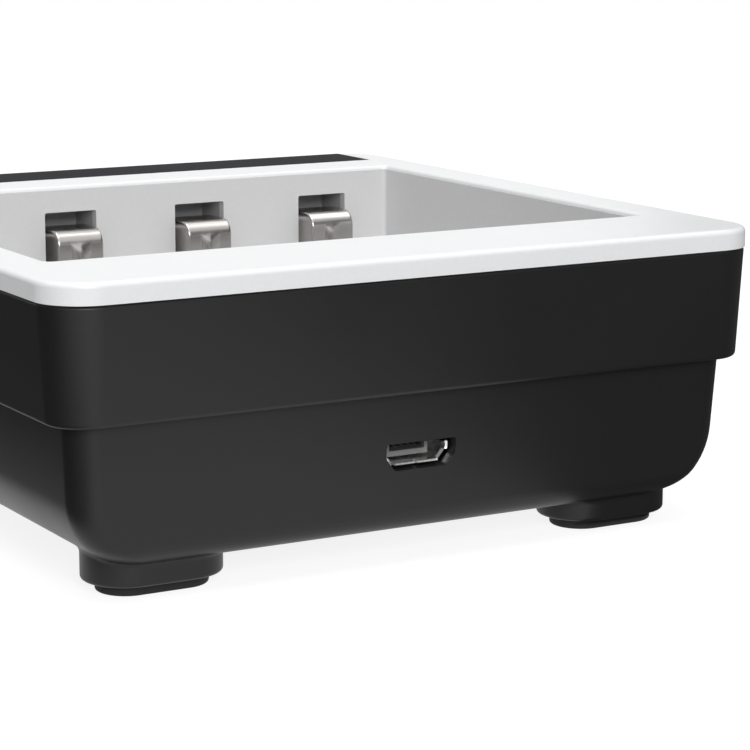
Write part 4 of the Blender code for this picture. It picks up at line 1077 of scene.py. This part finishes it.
def finish_inner_pieces():
    """Finishes for the CAD pieces that keep their own meshes, most of them inside the housing."""
    chips = chip_epoxy()
    guide = clear_resin("guide_acrylic", linear("F2F6F7"), 0.08)
    lamp = clear_resin("lamp_epoxy", linear("DCEFDD"), 0.15)
    steel = zinc_screw_steel()
    finishes = {"circuit_board": board_laminate(), "charge_controller": chips,
                "power_inductor": sintered_ferrite(), "input_capacitor": capacitor_sleeve()}
    for number in (1, 2, 3, 4):
        finishes[f"pass_transistor_{number}"] = chips
        finishes[f"light_guide_{number}"] = guide
        finishes[f"status_lamp_{number}"] = lamp
    for place in CORNERS:
        finishes[f"housing_screw_{place}"] = steel
    for name, material in finishes.items():
        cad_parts[name].data.materials.clear()
        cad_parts[name].data.materials.append(material)


def build_camera():
    """A camera at the photograph's angle, with its focal length in pixels turned to millimetres."""
    data = bpy.data.cameras.new("camera")
    data.sensor_width = SENSOR
    data.lens = FOCAL_PIXELS / IMAGE_WIDTH * SENSOR
    data.clip_start = 0.01
    camera = bpy.data.objects.new("camera", data)
    camera.location = CAMERA_PLACE
    camera.rotation_euler = (math.radians(90 - CAMERA_PITCH), 0.0, math.radians(-CAMERA_HEADING))
    bpy.context.scene.collection.objects.link(camera)
    bpy.context.scene.camera = camera


def add_softbox(name, place, aim, width, height, power):
    """A rectangular lamp at a place, turned to face a point."""
    data = bpy.data.lights.new(name, "AREA")
    data.shape = "RECTANGLE"
    data.size = width
    data.size_y = height
    data.energy = power
    lamp = bpy.data.objects.new(name, data)
    lamp.location = place
    direction = np.array(aim) - np.array(place)
    spin = math.atan2(direction[1], direction[0]) - math.pi / 2
    tilt = math.atan2(math.hypot(direction[0], direction[1]), -direction[2])
    lamp.rotation_euler = (tilt, 0.0, spin)
    bpy.context.scene.collection.objects.link(lamp)


def seen_or_lit(tree, seen, lit):
    """One value for what the camera, glass and gloss see directly, and another for diffuse light."""
    path = add_node(tree, "ShaderNodeLightPath")
    direct = add_node(tree, "ShaderNodeMath", {0: path.outputs["Is Camera Ray"],
                                               1: path.outputs["Is Transmission Ray"]}, operation="MAXIMUM")
    either = add_node(tree, "ShaderNodeMath", {0: direct.outputs[0], 1: path.outputs["Is Glossy Ray"]},
                      operation="MAXIMUM")
    return add_node(tree, "ShaderNodeMix", {"Factor": either.outputs[0], "A": lit, "B": seen}).outputs[0]


def stage_plane(name, corners, material):
    """A flat stage piece between four corners."""
    mesh = bpy.data.meshes.new(name)
    mesh.from_pydata(corners, [], [(0, 1, 2, 3)])
    mesh.materials.append(material)
    plane = bpy.data.objects.new(name, mesh)
    bpy.context.scene.collection.objects.link(plane)
    return plane


def floor_paper():
    """White paper. It reads as white but for the charger's own shadow, and is clear from below."""
    material, tree = empty_material("floor_paper")
    shade = seen_or_lit(tree, PAPER_SEEN, PAPER_LIT)
    paper = add_node(tree, "ShaderNodeBsdfDiffuse", {"Color": shade})
    glow = add_node(tree, "ShaderNodeEmission", {"Strength": seen_or_lit(tree, PAPER_GLOW, 0.0)})
    lit = add_node(tree, "ShaderNodeAddShader", {0: paper.outputs[0], 1: glow.outputs[0]})
    clear = add_node(tree, "ShaderNodeBsdfTransparent")
    side = add_node(tree, "ShaderNodeNewGeometry").outputs["Backfacing"]
    both = add_node(tree, "ShaderNodeMixShader", {0: side, 1: lit.outputs[0], 2: clear.outputs[0]})
    add_node(tree, "ShaderNodeOutputMaterial", {"Surface": both.outputs[0]})
    return material


def card_material(name, strength):
    """An even card that glows at the given strength, whatever falls on it."""
    material, tree = empty_material(name)
    glow = add_node(tree, "ShaderNodeEmission", {"Strength": strength})
    add_node(tree, "ShaderNodeOutputMaterial", {"Surface": glow.outputs[0]})
    return material


def gloss_card(name, corners, material):
    """A stage card that only gloss sees: it shows only as a painted reflection."""
    card = stage_plane(name, corners, material)
    card.visible_camera = False
    card.visible_diffuse = False
    card.visible_shadow = False
    card.visible_transmission = False


def build_cards():
    """Cards that only gloss sees, which paint reflections: dark ones beside the charger paint dark
    reflections, so its black faces keep their shape.

    Each dark card lies on the floor and has another standing on its far edge. A bright one overhead
    paints a bright reflection: the white band on the rolled tops of the contacts.
    """
    for name, near, far, start, end, strength in DARK_CARDS:
        dark = card_material(f"{name}_card", strength)
        low, high = min(near, far), max(near, far)
        lying = [(low, start, CARD_LIFT), (high, start, CARD_LIFT),
                 (high, end, CARD_LIFT), (low, end, CARD_LIFT)]
        standing = [(far, start, 0.0), (far, end, 0.0), (far, end, CARD_HEIGHT), (far, start, CARD_HEIGHT)]
        gloss_card(f"{name}_card_lying", lying, dark)
        gloss_card(f"{name}_card_standing", standing, dark)
    low_x, high_x, low_y, high_y = OVERHEAD_SPAN
    outline = ((low_x, low_y), (high_x, low_y), (high_x, high_y), (low_x, high_y))
    overhead = [(x, y, OVERHEAD_HEIGHT) for x, y in outline]
    gloss_card("overhead_card", overhead, card_material("overhead_card", OVERHEAD_STRENGTH))


def build_stage():
    """Camera, softboxes, white surroundings, cards for the gloss, and a floor that keeps the shadow."""
    build_camera()
    bpy.context.scene.view_settings.view_transform = "Standard"
    for name, place, side, power in SOFTBOXES:
        add_softbox(name, place, LAMP_AIM, side, side, power)

    world = bpy.data.worlds.new("surroundings")
    world.use_nodes = True
    tree = world.node_tree
    tree.nodes.clear()
    strength = seen_or_lit(tree, 1.0, WORLD_LIT)
    light = add_node(tree, "ShaderNodeBackground", {"Color": (1.0, 1.0, 1.0, 1.0), "Strength": strength})
    add_node(tree, "ShaderNodeOutputWorld", {"Surface": light.outputs[0]})
    bpy.context.scene.world = world

    half = FLOOR_HALF
    corners = [(-half, -half, 0.0), (half, -half, 0.0), (half, half, 0.0), (-half, half, 0.0)]
    stage_plane("floor", corners, floor_paper())
    build_cards()


class CHARGER_OT_cover(bpy.types.Operator):
    """Model the white cover."""

    bl_idname = "charger.cover"
    bl_label = "Cover"

    def execute(self, context):
        build_cover()
        return {"FINISHED"}


class CHARGER_OT_strip(bpy.types.Operator):
    """Model the indicator strip."""

    bl_idname = "charger.strip"
    bl_label = "Indicator strip"

    def execute(self, context):
        build_strip()
        return {"FINISHED"}


class CHARGER_OT_upper_shell(bpy.types.Operator):
    """Model the black upper shell."""

    bl_idname = "charger.upper_shell"
    bl_label = "Upper shell"

    def execute(self, context):
        build_upper_shell()
        return {"FINISHED"}


class CHARGER_OT_tub(bpy.types.Operator):
    """Model the black tub with its foot bosses."""

    bl_idname = "charger.tub"
    bl_label = "Tub"

    def execute(self, context):
        build_tub()
        return {"FINISHED"}


class CHARGER_OT_pads(bpy.types.Operator):
    """Model the rubber foot pads."""

    bl_idname = "charger.pads"
    bl_label = "Foot pads"

    def execute(self, context):
        build_pads()
        return {"FINISHED"}


class CHARGER_OT_tray(bpy.types.Operator):
    """Model the white battery tray."""

    bl_idname = "charger.tray"
    bl_label = "Battery tray"

    def execute(self, context):
        build_tray()
        return {"FINISHED"}


class CHARGER_OT_contacts(bpy.types.Operator):
    """Model the folded contact leaves."""

    bl_idname = "charger.contacts"
    bl_label = "Contacts"

    def execute(self, context):
        build_contacts()
        return {"FINISHED"}


class CHARGER_OT_socket(bpy.types.Operator):
    """Model the inlet: its shell, tongue and fingers."""

    bl_idname = "charger.socket"
    bl_label = "Inlet"

    def execute(self, context):
        build_socket()
        build_tongue()
        return {"FINISHED"}


class CHARGER_OT_inner_pieces(bpy.types.Operator):
    """Finish the pieces inside the housing."""

    bl_idname = "charger.inner_pieces"
    bl_label = "Inner pieces"

    def execute(self, context):
        finish_inner_pieces()
        return {"FINISHED"}


class CHARGER_OT_stage(bpy.types.Operator):
    """Set up the camera, lamps, cards and floor."""

    bl_idname = "charger.stage"
    bl_label = "Stage"

    def execute(self, context):
        build_stage()
        return {"FINISHED"}


class CHARGER_PT_pieces(bpy.types.Panel):
    """Sidebar panel that lists the charger's pieces, sizes and colours."""

    bl_label = "Charger"
    bl_space_type = "VIEW_3D"
    bl_region_type = "UI"
    bl_category = "Charger"

    def draw(self, context):
        for operator in OPERATORS:
            self.layout.operator(operator.bl_idname)
        for group in (context.scene.charger_sizes, context.scene.charger_colours):
            for name in group.bl_rna.properties.keys():
                if name not in ("rna_type", "name"):
                    self.layout.prop(group, name)


OPERATORS = (CHARGER_OT_cover, CHARGER_OT_strip, CHARGER_OT_upper_shell, CHARGER_OT_tub, CHARGER_OT_pads,
             CHARGER_OT_tray, CHARGER_OT_contacts, CHARGER_OT_socket, CHARGER_OT_inner_pieces,
             CHARGER_OT_stage)
CLASSES = (ChargerSizes, ChargerColours, *OPERATORS, CHARGER_PT_pieces)


def register():
    for cls in CLASSES:
        bpy.utils.register_class(cls)
    bpy.types.Scene.charger_sizes = bpy.props.PointerProperty(type=ChargerSizes)
    bpy.types.Scene.charger_colours = bpy.props.PointerProperty(type=ChargerColours)


def unregister():
    del bpy.types.Scene.charger_colours
    del bpy.types.Scene.charger_sizes
    for cls in reversed(CLASSES):
        bpy.utils.unregister_class(cls)


def main():
    """Make every piece and the stage."""
    register()
    bpy.ops.charger.cover()
    bpy.ops.charger.strip()
    bpy.ops.charger.upper_shell()
    bpy.ops.charger.tub()
    bpy.ops.charger.pads()
    bpy.ops.charger.tray()
    bpy.ops.charger.contacts()
    bpy.ops.charger.socket()
    bpy.ops.charger.inner_pieces()
    bpy.ops.charger.stage()


if __name__ == "__main__":
    main()
